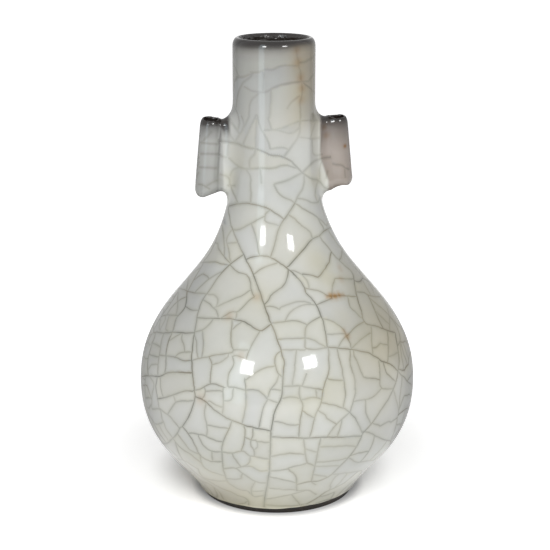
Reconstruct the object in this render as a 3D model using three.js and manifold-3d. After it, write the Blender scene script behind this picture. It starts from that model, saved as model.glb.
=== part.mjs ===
// A celadon bottle vase: a pear-shaped body on a low foot ring, and a straight neck that carries
// two tubular lugs. It is built from the clay pieces that a potter throws and lutes together with
// slip before firing. Millimetres, +Z up. The origin is the centre of the foot, on the surface
// that the vase stands on. The lugs lie along the X axis, and the front is -Y.

import * as THREE from "three";
import { mergeVertices } from "three/addons/utils/BufferGeometryUtils.js";
import Module from "manifold-3d";

const wasm = await Module();
wasm.setup();

// Body and neck
const totalHeight = 230;
const footRadius = 39;
const bellyRadius = 69.2;
const bellyHeight = 58.5;
const neckRadius = 20.1;
const neckStartHeight = 180; // the sweep up from the belly ends in the straight neck here

// How far the two sweeps of the profile run on in their end directions before they bend
const footPull = 20.5;
const footSplay = THREE.MathUtils.degToRad(25.4); // from upright, where the flank leaves the foot
const flankPull = 32;
const shoulderPull = 48.8;
const neckPull = 74.9;

// Walls
const bellyWall = 4.6;
const neckWall = 3.9;
const floorThickness = 6.4;
const floorRound = 9; // radius of the corner between the floor and the inside of the flank

// Foot
const footRingHeight = 3;
const footRingWidth = 6.4;
const footBevel = 0.6;
const baseHollow = 2; // how far the underside is hollowed above the foot ring's seat

// Lip: a quarter ellipse outside and one inside, which meet at the crest
const lipCrestShare = 0.64; // how far across the wall the crest lies, from the outside
const lipOuterFall = 4.3;
const lipInnerFall = 2.6;

// Slip joints between the thrown pieces
const slip = 0.8;
const neckSeam = 143; // height of the middle of the joint under the neck
const beadDepth = 1.5; // slip squeezed out on the inside, where no hand can wipe it off
const beadLap = 0.8; // how far the bead laps over the wall above and below the joint
const beadGap = 0.3;

// Lugs: rolled tubes that widen downwards and lean outwards, on a web that seats on the neck
const lugTop = 191;
const lugTopReach = 30.3; // from the vase's axis to the tube's axis, at the top
const lugLean = THREE.MathUtils.degToRad(4.05);
const lugTopRadius = 5;
const lugTaper = 0.025; // growth in radius per millimetre of length
const lugBore = 3.5;
const lugRimFall = 1.6;
const lugFootRound = 1.3;
const leftLugLength = 38;
const rightLugLength = 34.5;
const webThickness = 6.6;
const webRootThickness = 15;
const webRootReach = 5; // how far out from the neck the thick root of the web runs
const webTopDrop = 0.7; // below the lug's rim
const webBottom = 155;
const webFillet = 4.5;
const saddleGap = 0.3;

// Fineness of the facets
const turnSegments = 60;
const lugSegments = 24;
const stepHeight = 6.4; // between the rings of facets on a curved wall
const weldDistance = 1e-4;
const insideNeck = 3; // how far the uncut web runs into the neck, before the saddle trims it

// Outline of the outside, as radius against height
const footEdge = new THREE.Vector2(footRadius, 0);
const bellyEdge = new THREE.Vector2(bellyRadius, bellyHeight);
const flank = new THREE.CubicBezierCurve(
  footEdge,
  new THREE.Vector2(Math.sin(footSplay), Math.cos(footSplay)).multiplyScalar(footPull).add(footEdge),
  new THREE.Vector2(bellyRadius, bellyHeight - flankPull),
  bellyEdge,
);
const shoulder = new THREE.CubicBezierCurve(
  bellyEdge,
  new THREE.Vector2(bellyRadius, bellyHeight + shoulderPull),
  new THREE.Vector2(neckRadius, neckStartHeight - neckPull),
  new THREE.Vector2(neckRadius, neckStartHeight),
);

// The inside of a wall: its outer curve moved inwards by the wall's thickness.
class InnerCurve extends THREE.Curve {
  constructor(outer, startWall, endWall) {
    super();
    this.outer = outer;
    this.startWall = startWall;
    this.endWall = endWall;
  }

  getPoint(t) {
    const along = this.outer.getTangent(t);
    const wall = THREE.MathUtils.lerp(this.startWall, this.endWall, t);
    const inwards = new THREE.Vector2(-along.y, along.x);
    return this.outer.getPoint(t).addScaledVector(inwards, wall);
  }
}
const flankInside = new InnerCurve(flank, bellyWall, bellyWall);
const shoulderInside = new InnerCurve(shoulder, bellyWall, neckWall);

// A curve that climbs all the way has one radius at each height, which halving finds.
function radiusOn(curve, height) {
  let low = 0;
  let high = 1;
  for (let i = 0; i < 40; i += 1) {
    const middle = (low + high) / 2;
    if (curve.getPoint(middle).y < height) low = middle;
    else high = middle;
  }
  return curve.getPoint(low).x;
}

function outerRadius(height) {
  if (height >= neckStartHeight) return neckRadius;
  return radiusOn(height < bellyHeight ? flank : shoulder, height);
}

function innerRadius(height) {
  if (height >= neckStartHeight) return neckRadius - neckWall;
  return radiusOn(height < bellyHeight ? flankInside : shoulderInside, height);
}

// Points on one side of a wall, from one height to another, with both ends included.
function wallPoints(radiusAt, from, to) {
  const steps = Math.max(1, Math.round(Math.abs(to - from) / stepHeight));
  const points = [];
  for (let i = 0; i <= steps; i += 1) {
    const height = i === steps ? to : from + ((to - from) * i) / steps;
    points.push(new THREE.Vector2(radiusAt(height), height));
  }
  return points;
}

// The points between two ends of a quarter ellipse that would meet at a square corner.
function quarter(from, corner, to, steps) {
  const points = [];
  for (let i = 1; i < steps; i += 1) {
    const angle = (Math.PI / 2) * (i / steps);
    const point = corner.clone();
    point.addScaledVector(from.clone().sub(corner), 1 - Math.sin(angle));
    point.addScaledVector(to.clone().sub(corner), 1 - Math.cos(angle));
    points.push(point);
  }
  return points;
}

// A ring turned from a closed outline, or a solid whose outline starts and ends on the axis.
function turned(points, segments = turnSegments) {
  const closed = points[0].x === 0 ? points : [...points, points[0].clone()];
  return new THREE.LatheGeometry(closed, segments).rotateX(Math.PI / 2);
}

function footRingGeometry() {
  const inside = footRadius - footRingWidth;
  return turned([
    new THREE.Vector2(inside + footBevel, 0),
    new THREE.Vector2(footRadius - footBevel, 0),
    new THREE.Vector2(outerRadius(footBevel), footBevel),
    new THREE.Vector2(outerRadius(footRingHeight / 2), footRingHeight / 2),
    new THREE.Vector2(outerRadius(footRingHeight), footRingHeight),
    new THREE.Vector2(inside, footRingHeight),
    new THREE.Vector2(inside, footBevel),
  ]);
}

// The layer of slip between the foot ring and the body.
function footSlipGeometry() {
  const inside = footRadius - footRingWidth;
  const top = footRingHeight + slip;
  return turned([
    new THREE.Vector2(inside, footRingHeight),
    new THREE.Vector2(outerRadius(footRingHeight), footRingHeight),
    new THREE.Vector2(outerRadius(top), top),
    new THREE.Vector2(inside, top),
  ]);
}

// The bowl that was thrown first: the floor, and the flank up to the joint at the belly.
function lowerBodyGeometry() {
  const seat = footRingHeight + slip;
  const rim = bellyHeight - slip / 2;
  const underside = seat + baseHollow;
  const floor = underside + floorThickness;
  const seatInside = footRadius - footRingWidth;
  const flankStart = new THREE.Vector2(innerRadius(floor + floorRound), floor + floorRound);
  const corner = new THREE.Vector2(innerRadius(floor + floorRound), floor);
  const floorEdge = new THREE.Vector2(corner.x - floorRound, floor);
  return turned([
    new THREE.Vector2(0, underside),
    new THREE.Vector2(seatInside - baseHollow, underside),
    new THREE.Vector2(seatInside, seat),
    ...wallPoints(outerRadius, seat, rim),
    ...wallPoints(innerRadius, rim, flankStart.y),
    ...quarter(flankStart, corner, floorEdge, 4),
    floorEdge,
    new THREE.Vector2(0, floor),
  ]);
}

// A layer of slip between two flat rims, with the bead that is left standing on the inside.
function slipRingGeometry(height) {
  const low = height - slip / 2;
  const high = height + slip / 2;
  const beadLow = low - beadLap;
  const beadHigh = high + beadLap;
  const beadRoot = Math.min(innerRadius(beadLow), innerRadius(beadHigh)) - beadGap;
  return turned([
    new THREE.Vector2(outerRadius(low), low),
    new THREE.Vector2(outerRadius(high), high),
    new THREE.Vector2(beadRoot, high),
    new THREE.Vector2(beadRoot, beadHigh),
    new THREE.Vector2(beadRoot - beadDepth, high),
    new THREE.Vector2(beadRoot - beadDepth, low),
    new THREE.Vector2(beadRoot, beadLow),
    new THREE.Vector2(beadRoot, low),
  ]);
}

// The dome that closes the body, from the joint at the belly to the joint under the neck.
function upperBodyGeometry() {
  const low = bellyHeight + slip / 2;
  const high = neckSeam - slip / 2;
  return turned([...wallPoints(outerRadius, low, high), ...wallPoints(innerRadius, high, low)]);
}

// The neck, with its rounded lip.
function neckGeometry() {
  const low = neckSeam + slip / 2;
  const crest = new THREE.Vector2(neckRadius - neckWall * lipCrestShare, totalHeight);
  const outside = new THREE.Vector2(neckRadius, totalHeight - lipOuterFall);
  const inside = new THREE.Vector2(neckRadius - neckWall, totalHeight - lipInnerFall);
  return turned([
    ...wallPoints(outerRadius, low, neckStartHeight),
    outside,
    ...quarter(outside, new THREE.Vector2(outside.x, crest.y), crest, 5),
    crest,
    ...quarter(crest, new THREE.Vector2(inside.x, crest.y), inside, 4),
    inside,
    ...wallPoints(innerRadius, neckStartHeight, low),
  ]);
}

function solidFrom(geometry) {
  const bare = geometry.index ? geometry.toNonIndexed() : geometry.clone();
  bare.deleteAttribute("normal");
  bare.deleteAttribute("uv");
  const merged = mergeVertices(bare, weldDistance);
  return new wasm.Manifold(
    new wasm.Mesh({
      numProp: 3,
      vertProperties: merged.attributes.position.array,
      triVerts: new Uint32Array(merged.index.array),
    }),
  );
}

function geometryFrom(solid) {
  const mesh = solid.getMesh();
  const geometry = new THREE.BufferGeometry();
  geometry.setAttribute("position", new THREE.BufferAttribute(mesh.vertProperties, 3));
  geometry.setIndex(new THREE.BufferAttribute(mesh.triVerts, 1));
  const faceted = geometry.toNonIndexed();
  faceted.computeVertexNormals();
  return faceted;
}

// A lug's tube stands on its own axis, with its rim at height 0 and the rest below.
function lugTubePoints(length) {
  const rim = new THREE.Vector2(lugBore + (lugTopRadius - lugBore) / 2, 0);
  const side = new THREE.Vector2(lugTopRadius + lugTaper * lugRimFall, -lugRimFall);
  const lower = lugFootRound - length;
  const footRound = new THREE.Vector2(lugTopRadius - lugTaper * lower, lower);
  const foot = new THREE.Vector2(footRound.x - lugFootRound, -length);
  return [
    new THREE.Vector2(0, -length),
    foot,
    ...quarter(foot, new THREE.Vector2(footRound.x, foot.y), footRound, 3),
    footRound,
    side,
    ...quarter(side, new THREE.Vector2(side.x, 0), rim, 3),
    rim,
    new THREE.Vector2(0, 0),
  ];
}

// What is cut out of the tube: its bore, with the inner half of the rounded rim.
function lugBorePoints(length) {
  const rim = new THREE.Vector2(lugBore + (lugTopRadius - lugBore) / 2, 0);
  const wall = new THREE.Vector2(lugBore, -lugRimFall);
  const past = 1;
  return [
    new THREE.Vector2(0, -length - past),
    new THREE.Vector2(lugBore, -length - past),
    wall,
    ...quarter(wall, new THREE.Vector2(lugBore, 0), rim, 3),
    rim,
    new THREE.Vector2(rim.x, past),
    new THREE.Vector2(0, past),
  ];
}

// Turns an outline about the lug's own axis, which leans outwards on the +X side.
function lugTurned(points) {
  return turned(points, lugSegments).rotateY(-lugLean).translate(lugTopReach, 0, lugTop);
}

// The web seen from the front: flat above and below, with a fillet up and down the neck.
function webFrontGeometry(length) {
  const top = lugTop - webTopDrop;
  const tubeFoot = lugTop - length * Math.cos(lugLean);
  const tubeFootReach = lugTopReach + length * Math.sin(lugLean);
  const upperNeck = outerRadius(top + webFillet) + saddleGap;
  const lowerNeck = outerRadius(webBottom - webFillet) + saddleGap;
  const inside = neckRadius - insideNeck;
  const outline = new THREE.Shape();
  outline.moveTo(inside, webBottom - webFillet);
  outline.lineTo(lowerNeck + saddleGap, webBottom - webFillet);
  outline.quadraticCurveTo(lowerNeck + saddleGap, webBottom, lowerNeck + webFillet, webBottom);
  outline.lineTo(tubeFootReach, Math.max(webBottom, tubeFoot + lugFootRound));
  outline.lineTo(lugTopReach, top);
  outline.lineTo(upperNeck + webFillet, top);
  outline.quadraticCurveTo(upperNeck + saddleGap, top, upperNeck + saddleGap, top + webFillet);
  outline.lineTo(inside, top + webFillet);
  outline.closePath();
  return new THREE.ExtrudeGeometry(outline, {
    depth: webRootThickness,
    bevelEnabled: false,
    curveSegments: 6,
  })
    .rotateX(Math.PI / 2)
    .translate(0, webRootThickness / 2, 0);
}

// The web seen from above: thick where it grips the neck, thin where it meets the tube.
function webPlanGeometry(length) {
  const halfRoot = webRootThickness / 2;
  const half = webThickness / 2;
  const inside = neckRadius - insideNeck;
  const neck = outerRadius(webBottom);
  const rootEnd = neck + webRootReach;
  const reach = lugTopReach + length * Math.sin(lugLean);
  const bottom = webBottom - webFillet;
  const outline = new THREE.Shape();
  outline.moveTo(inside, -halfRoot);
  outline.quadraticCurveTo(neck, -half, rootEnd, -half);
  outline.lineTo(reach, -half);
  outline.lineTo(reach, half);
  outline.lineTo(rootEnd, half);
  outline.quadraticCurveTo(neck, half, inside, halfRoot);
  outline.closePath();
  return new THREE.ExtrudeGeometry(outline, {
    depth: lugTop + webFillet - bottom,
    bevelEnabled: false,
    curveSegments: 6,
  }).translate(0, 0, bottom);
}

// What the saddle is cut with: the neck's own outside, grown by the gap that the slip fills.
function saddleSolid() {
  const low = webBottom - 2 * webFillet;
  const high = lugTop + 2 * webFillet;
  const grown = (height) => outerRadius(height) + saddleGap;
  return solidFrom(
    turned([
      new THREE.Vector2(0, low),
      ...wallPoints(grown, low, high),
      new THREE.Vector2(0, high),
    ]),
  );
}

// A lug on the +X side: its tube and web joined, then bored through and cut to sit on the neck.
function lugGeometry(length) {
  const web = solidFrom(webFrontGeometry(length)).intersect(solidFrom(webPlanGeometry(length)));
  return geometryFrom(
    solidFrom(lugTurned(lugTubePoints(length)))
      .add(web)
      .subtract(solidFrom(lugTurned(lugBorePoints(length))))
      .subtract(saddleSolid()),
  );
}

// Colours and finish
function glaze(color) {
  return new THREE.MeshStandardMaterial({ color, roughness: 0.12, metalness: 0 });
}
const paleGlaze = glaze(0xc9cbc0);
const neckGlaze = glaze(0xb3b3ab);
const greyGlaze = glaze(0xa6a6a3);
const warmGlaze = glaze(0xa69d96);
const ironClay = new THREE.MeshStandardMaterial({ color: 0x3b342c, roughness: 0.8, metalness: 0 });
const slipClay = new THREE.MeshStandardMaterial({ color: 0xb9bab0, roughness: 0.5, metalness: 0 });

const vase = new THREE.Group();

function addPiece(name, geometry, material, turn = 0) {
  const piece = new THREE.Mesh(geometry, material);
  piece.name = name;
  piece.rotation.z = turn;
  vase.add(piece);
}

addPiece("foot_ring", footRingGeometry(), ironClay);
addPiece("foot_slip_joint", footSlipGeometry(), slipClay);
addPiece("lower_body", lowerBodyGeometry(), paleGlaze);
addPiece("belly_slip_joint", slipRingGeometry(bellyHeight), slipClay);
addPiece("upper_body", upperBodyGeometry(), paleGlaze);
addPiece("neck_slip_joint", slipRingGeometry(neckSeam), slipClay);
addPiece("neck", neckGeometry(), neckGlaze);
addPiece("left_lug", lugGeometry(leftLugLength), greyGlaze, Math.PI);
addPiece("right_lug", lugGeometry(rightLugLength), warmGlaze);

export default vase;
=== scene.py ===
# The looks of a celadon bottle vase: a pale, crackled glaze over a dark clay body.
# Lengths are millimetres until a mesh, a lamp or the camera is made. The front is -Y.
import math
import random

import bpy
import numpy as np
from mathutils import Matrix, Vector, noise
from mathutils.bvhtree import BVHTree
from mathutils.kdtree import KDTree


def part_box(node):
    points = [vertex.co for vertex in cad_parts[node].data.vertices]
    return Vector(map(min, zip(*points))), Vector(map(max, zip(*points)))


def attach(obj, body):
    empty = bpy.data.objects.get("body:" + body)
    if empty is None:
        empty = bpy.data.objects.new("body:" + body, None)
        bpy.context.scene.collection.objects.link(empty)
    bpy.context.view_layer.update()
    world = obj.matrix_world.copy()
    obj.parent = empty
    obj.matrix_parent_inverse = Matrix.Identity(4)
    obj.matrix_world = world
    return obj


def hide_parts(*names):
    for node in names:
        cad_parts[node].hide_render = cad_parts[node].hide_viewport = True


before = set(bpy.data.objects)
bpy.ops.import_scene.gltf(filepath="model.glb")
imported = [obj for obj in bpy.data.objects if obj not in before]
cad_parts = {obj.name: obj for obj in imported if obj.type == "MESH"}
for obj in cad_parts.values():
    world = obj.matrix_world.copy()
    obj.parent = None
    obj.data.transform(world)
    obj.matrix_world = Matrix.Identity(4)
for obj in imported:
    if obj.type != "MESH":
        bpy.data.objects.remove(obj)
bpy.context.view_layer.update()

MM = 0.001
TINY = 1e-6  # a length that counts as none

# Outline of the outside, as in the CAD model
TOTAL_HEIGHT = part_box("neck")[1].z / MM
FOOT_RADIUS = 39.0
BELLY_RADIUS = 69.2
BELLY_HEIGHT = 58.5
NECK_RADIUS = 20.1
NECK_START_HEIGHT = 180.0
FOOT_PULL = 20.5
FOOT_SPLAY = math.radians(25.4)
FLANK_PULL = 32.0
SHOULDER_PULL = 48.8
NECK_PULL = 74.9
NECK_SEAM = 143.0
SKIN_INSET = 0.03  # keeps the crackle, which stands a hair proud, inside the CAD model's box
SHOULDER_SWELL = 0.9  # the thrown shoulder is a little fuller than its smooth outline
SHOULDER_SWELL_HEIGHT = 106.0
SHOULDER_SWELL_HALF = 24.0

# Walls, floor and lip
BELLY_WALL = 4.6
NECK_WALL = 3.9
FLOOR_TOP = 12.2
FLOOR_ROUND = 9.0
UNDERSIDE = 5.8
BEAD_DEPTH = 1.5
BEAD_HALF_HEIGHT = 2.4
LIP_CREST_SHARE = 0.64
LIP_OUTER_FALL = 4.3
LIP_INNER_FALL = 2.6

# Foot: bare clay below the edge of the glaze
FOOT_SEAT = 5.0
FOOT_RING_INSIDE = 32.6
FOOT_RING_INNER_HEIGHT = 3.8
FOOT_BEVEL = 0.2
GLAZE_STEP = 0.5
GLAZE_EDGE = 3.3
GLAZE_EDGE_TILT = 0.8
GLAZE_EDGE_ROUND = 0.8
GLAZE_EDGE_TOP = 14.0  # the uneven edge has faded out of the glaze by this height
GLAZE_EDGE_INSIDE = 36.0  # and moves nothing that is nearer to the axis than this
CHAMFER_START = (FOOT_RING_INSIDE - (FOOT_SEAT - FOOT_RING_INNER_HEIGHT), FOOT_SEAT)
CHAMFER_END = (FOOT_RING_INSIDE - (UNDERSIDE - FOOT_RING_INNER_HEIGHT), UNDERSIDE)
GRIT_HEIGHT = 0.12
GRIT_SCALE = 0.9

# Lugs
LUG_LEAN = math.radians(4.05)
LUG_RADIUS = 5.0
LUG_TAPER = 0.025
LUG_BORE = 3.5
LUG_BORE_ROUND = 1.2
LUG_RIM_ROUND = 3.0
LUG_RIM_FALL = 5.5
LUG_FOOT_ROUND = 3.2
LUG_FOOT_RISE = 4.2
LUG_FOOT_LOW = -2.0  # the tube's foot is cut at a slant from here towards the neck
LUG_SIDES = {
    "left_lug": {
        "side": -1, "top": 192.8, "top_slant": 0.15, "reach": 30.7, "length": 40.4, "groove": 1.2,
        "foot_slant": 0.5, "web_bottom": 156.2, "fillet": 5.6,
    },
    "right_lug": {
        "side": 1, "top": 192.6, "top_slant": 0.08, "reach": 31.0, "length": 36.1, "groove": 2.6,
        "foot_slant": 0.1, "web_bottom": 155.0, "fillet": 10.5,
    },
}
WEB_HALF = 3.3
WEB_TOP = 190.3
WEB_ROUND = 3.0
WEB_UPPER_FILLET = 9.0
WEB_LOWER_FILLET = 8.5
WEB_FOOT_FILLET = 5.0  # between the tube's lower end and the web
WEB_FOOT_RANGE = (157.0, 164.0)  # heights where that fillet gives way to the lug's groove
WEB_FILLET_HEIGHTS = (152.0, 162.0, 172.0)  # of the lower, the lug's own and the upper fillet
WEB_ROOT_REACH = NECK_RADIUS + 8  # the web's lower edge is level up to here
LUG_INNER_END = 8.0
LUG_CORE_INSET = 0.8

# How a lug's skin is found: from a grid round the lug, and then in passes that bring it closer
LUG_CELL = 0.55
LUG_GRID_SIDE = 2.5
LUG_GRID_HALF = 18.0
LUG_GRID_RISE = 12.0
LUG_CUT = 0.4  # how far past its fillet the lug is cut off
SKIN_PASSES = 4
LEAST_SLOPE = 0.2
LONGEST_MOVE = 0.3
ON_SKIN = 0.05

# Fineness of the turned meshes
TURN_SEGMENTS = 320
OUTER_STEP = 1.3
INNER_STEP = 1.5
BOWL_STEP = 1.2
FLAT_STEP = 4.0
FOOT_STEP = 0.6
FOOT_FLAT_STEP = 1.0
OUTLINE_POINTS = 600
SLOPE_REACH = 0.05  # how far to either side a slope is measured

# Camera, fitted to the photograph. The lugs' line is turned from square to it.
IMAGE_SIZE = 550
FOCAL_PIXELS = 1507.0
CAMERA_DISTANCE = 726.8
CAMERA_HEIGHT = 311.2
CAMERA_SHIFT = -1.0
CAMERA_PITCH = math.radians(15.36)
VASE_TURN = math.radians(8.0)
SENSOR_WIDTH = 36.0

# The neck was set a little off the body's axis, towards the left lug
NECK_SHIFT = 1.5
NECK_SHIFT_START = 105.0
NECK_SHIFT_END = 170.0


def smooth_step(low, high, value):
    """0 below low, 1 above high, and an even curve between them."""
    share = np.clip((value - low) / (high - low), 0, 1)
    return share * share * (3 - 2 * share)


RIGHT = np.array([math.cos(VASE_TURN), -math.sin(VASE_TURN), 0])
AHEAD = np.array([math.sin(VASE_TURN), math.cos(VASE_TURN), 0])


def settled(points):
    """Moves the neck and its lugs to their place a little off the axis."""
    share = smooth_step(NECK_SHIFT_START, NECK_SHIFT_END, points[:, 2])
    return points - RIGHT * (NECK_SHIFT * share)[:, None]


# Outline

def bezier(corners, share):
    """Points and directions of a cubic Bezier curve."""
    a, b, c, d = [np.array(corner) for corner in corners]
    t = share[:, None]
    rest = 1 - t
    points = rest**3 * a + 3 * rest**2 * t * b + 3 * rest * t**2 * c + t**3 * d
    along = rest**2 * (b - a) + 2 * rest * t * (c - b) + t**2 * (d - c)
    return points, along / np.linalg.norm(along, axis=1)[:, None]


def outline_table():
    """The outside and the inside of the wall as radius against height."""
    share = np.linspace(0, 1, OUTLINE_POINTS)
    foot_pull = (
        FOOT_RADIUS + FOOT_PULL * math.sin(FOOT_SPLAY),
        FOOT_PULL * math.cos(FOOT_SPLAY),
    )
    flank, flank_way = bezier(
        (
            (FOOT_RADIUS, 0),
            foot_pull,
            (BELLY_RADIUS, BELLY_HEIGHT - FLANK_PULL),
            (BELLY_RADIUS, BELLY_HEIGHT),
        ),
        share,
    )
    shoulder, shoulder_way = bezier(
        (
            (BELLY_RADIUS, BELLY_HEIGHT),
            (BELLY_RADIUS, BELLY_HEIGHT + SHOULDER_PULL),
            (NECK_RADIUS, NECK_START_HEIGHT - NECK_PULL),
            (NECK_RADIUS, NECK_START_HEIGHT),
        ),
        share,
    )
    outer = np.vstack([flank, shoulder[1:], [(NECK_RADIUS, TOTAL_HEIGHT)]])
    ways = np.vstack([flank_way, shoulder_way[1:], [(0, 1)]])
    shoulder_wall = BELLY_WALL + (NECK_WALL - BELLY_WALL) * share[1:]
    wall = np.concatenate([np.full(OUTLINE_POINTS, BELLY_WALL), shoulder_wall, [NECK_WALL]])
    inwards = np.stack([-ways[:, 1], ways[:, 0]], 1)
    inner = outer + inwards * wall[:, None]
    outer[:, 0] -= SKIN_INSET
    rise = np.clip(np.abs(outer[:, 1] - SHOULDER_SWELL_HEIGHT) / SHOULDER_SWELL_HALF, 0, 1)
    outer[:, 0] += SHOULDER_SWELL * (0.5 + 0.5 * np.cos(np.pi * rise))
    return outer, inner


OUTER, INNER = outline_table()
OUTER_SLOPE = np.gradient(OUTER[:, 0], OUTER[:, 1])


def outer_radius(height):
    return np.interp(height, OUTER[:, 1], OUTER[:, 0])


def outer_slope(height):
    return np.interp(height, OUTER[:, 1], OUTER_SLOPE)


def bead(height, seam):
    """How far the slip stands out on the inside, near a joint."""
    share = np.clip(np.abs(height - seam) / BEAD_HALF_HEIGHT, 0, 1)
    return BEAD_DEPTH * (0.5 + 0.5 * np.cos(np.pi * share))


def inner_radius(height):
    smooth = np.interp(height, INNER[:, 1], INNER[:, 0])
    return smooth - bead(height, BELLY_HEIGHT) - bead(height, NECK_SEAM)


def steps_between(low, high, step):
    return np.linspace(low, high, max(2, round(abs(high - low) / step) + 1))


# A run is a smooth stretch of an outline: rows of radius, height, and the normal's two parts

def wall_run(radius, low, high, step, side):
    """A run up or down one side of the wall. The side is 1 outside and -1 inside."""
    height = steps_between(low, high, step)
    slope = (radius(height + SLOPE_REACH) - radius(height - SLOPE_REACH)) / (2 * SLOPE_REACH)
    size = np.hypot(1, slope)
    return np.stack([radius(height), height, side / size, -side * slope / size], 1)


def line_run(start, end, step):
    """A straight run. Its normal points to the right of the way it goes."""
    start, end = np.array(start), np.array(end)
    length = np.linalg.norm(end - start)
    share = steps_between(0, length, step) / length
    points = start + (end - start) * share[:, None]
    way = (end - start) / length
    normal = np.tile([way[1], -way[0]], (len(points), 1))
    return np.hstack([points, normal])


def arc_run(centre, across, up, start, end, steps, facing=1):
    """A run round part of an ellipse, between two angles in degrees. Facing -1 is a hollow."""
    angle = np.radians(np.linspace(start, end, steps + 1))
    points = np.stack([centre[0] + across * np.cos(angle), centre[1] + up * np.sin(angle)], 1)
    normal = np.stack([up * np.cos(angle), across * np.sin(angle)], 1)
    normal *= facing / np.linalg.norm(normal, axis=1)[:, None]
    return np.hstack([points, normal])


def across_wall(start_radius, end_radius, height):
    """A level run through the wall, where two pieces meet."""
    return line_run((start_radius(height), height), (end_radius(height), height), FLAT_STEP)


def turned(runs):
    """Points, faces and corner normals of a ring or a solid turned from a closed outline."""
    angle = np.arange(TURN_SEGMENTS) * (2 * math.pi / TURN_SEGMENTS)
    turn = np.stack([np.cos(angle), np.sin(angle)], 1)
    here = np.arange(TURN_SEGMENTS)
    after = np.roll(here, -1)
    points, faces, normals = [], [], []
    count = 0
    first_ring = None
    last_ring = None

    def ring_at(radius, height):
        """The numbers of a new ring's points. On the axis it is one point."""
        nonlocal count
        if radius < TINY:
            points.append([(0, 0, height)])
            count += 1
            return np.full(TURN_SEGMENTS, count - 1)
        points.append(np.column_stack([turn * radius, np.full(TURN_SEGMENTS, height)]))
        count += TURN_SEGMENTS
        return np.arange(count - TURN_SEGMENTS, count)

    def spun(row, order):
        return np.column_stack([turn[order] * row[2], np.full(len(order), row[3])])

    for run_number, run in enumerate(runs):
        for i in range(len(run)):
            at_end = run_number == len(runs) - 1 and i == len(run) - 1
            if i == 0 and last_ring is not None:
                ring = last_ring
            elif at_end and run[i, 0] > TINY:
                ring = first_ring
            else:
                ring = ring_at(run[i, 0], run[i, 1])
            if first_ring is None:
                first_ring = ring
            if i > 0:
                corner_normals = [
                    spun(run[i - 1], here),
                    spun(run[i - 1], after),
                    spun(run[i], after),
                    spun(run[i], here),
                ]
                quads = np.stack([last_ring, last_ring[after], ring[after], ring], 1)
                if run[i - 1, 0] < TINY:
                    keep = [0, 2, 3]
                elif run[i, 0] < TINY:
                    keep = [0, 1, 2]
                else:
                    keep = [0, 1, 2, 3]
                faces.extend(quads[:, keep].tolist())
                normals.append(np.stack([corner_normals[k] for k in keep], 1).reshape(-1, 3))
            last_ring = ring
    return np.vstack(points), faces, np.vstack(normals)


def glaze_edge(angle):
    """Height of the glaze's lower edge round the foot: a tilt, and waves of three lengths."""
    tilt = GLAZE_EDGE_TILT * np.cos(angle + VASE_TURN)
    waves = 0.16 * np.sin(5 * angle + 0.7) + 0.12 * np.sin(9 * angle + 2.1)
    return GLAZE_EDGE + tilt + waves + 0.07 * np.sin(23 * angle)


def with_uneven_edge(points):
    """Moves the lowest part of the glaze up or down along its outline, to its uneven edge."""
    near_axis = np.hypot(points[:, 0], points[:, 1]) <= GLAZE_EDGE_INSIDE
    low = (points[:, 2] <= GLAZE_EDGE_TOP) & ~near_axis
    part = points[low]
    set_back = 0.9 * GLAZE_STEP  # tells the glaze's skin from the apron behind it
    on_seat = np.abs(part[:, 2] - FOOT_SEAT) < TINY
    outside = np.hypot(part[:, 0], part[:, 1]) > outer_radius(part[:, 2]) - set_back
    angle = np.arctan2(part[:, 1], part[:, 0])
    fade = 1 - smooth_step(GLAZE_EDGE, GLAZE_EDGE_TOP, part[:, 2])
    fade = np.where(on_seat & ~outside, 0, fade)
    new_height = part[:, 2] + (glaze_edge(angle) - GLAZE_EDGE) * fade
    shift = outer_radius(new_height) - outer_radius(part[:, 2])
    part[:, 0] += np.cos(angle) * shift
    part[:, 1] += np.sin(angle) * shift
    part[:, 2] = new_height
    points[low] = part
    return points


def lower_body_mesh():
    """The bowl: its outside down to the glaze's edge, and its inside down to the floor."""
    glaze_end = (outer_radius(GLAZE_EDGE) - GLAZE_STEP, GLAZE_EDGE)
    apron_top = (outer_radius(FOOT_SEAT) - GLAZE_STEP, FOOT_SEAT)
    roll_height = GLAZE_EDGE + GLAZE_EDGE_ROUND
    roll_centre = (outer_radius(roll_height) - GLAZE_STEP, roll_height)
    roll = arc_run(roll_centre, GLAZE_STEP, GLAZE_EDGE_ROUND, -90, 0, steps=5)
    roll[0, :2] = glaze_end
    corner_height = FLOOR_TOP + FLOOR_ROUND
    floor_radius = inner_radius(corner_height) - FLOOR_ROUND
    corner_centre = (floor_radius, corner_height)
    points, faces, normals = turned([
        line_run((0, UNDERSIDE), CHAMFER_END, FLAT_STEP),
        line_run(CHAMFER_END, CHAMFER_START, FLAT_STEP),
        line_run(CHAMFER_START, apron_top, FLAT_STEP),
        line_run(apron_top, glaze_end, FLAT_STEP),
        roll,
        wall_run(outer_radius, roll_height, BELLY_HEIGHT, OUTER_STEP, 1),
        across_wall(outer_radius, inner_radius, BELLY_HEIGHT),
        wall_run(inner_radius, BELLY_HEIGHT, corner_height, BOWL_STEP, -1),
        arc_run(corner_centre, FLOOR_ROUND, FLOOR_ROUND, 0, -90, steps=6, facing=-1),
        line_run((floor_radius, FLOOR_TOP), (0, FLOOR_TOP), FLAT_STEP),
    ])
    return with_uneven_edge(points), faces, normals


def upper_body_mesh():
    return turned([
        wall_run(outer_radius, BELLY_HEIGHT, NECK_SEAM, OUTER_STEP, 1),
        across_wall(outer_radius, inner_radius, NECK_SEAM),
        wall_run(inner_radius, NECK_SEAM, BELLY_HEIGHT, INNER_STEP, -1),
        across_wall(inner_radius, outer_radius, BELLY_HEIGHT),
    ])


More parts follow.
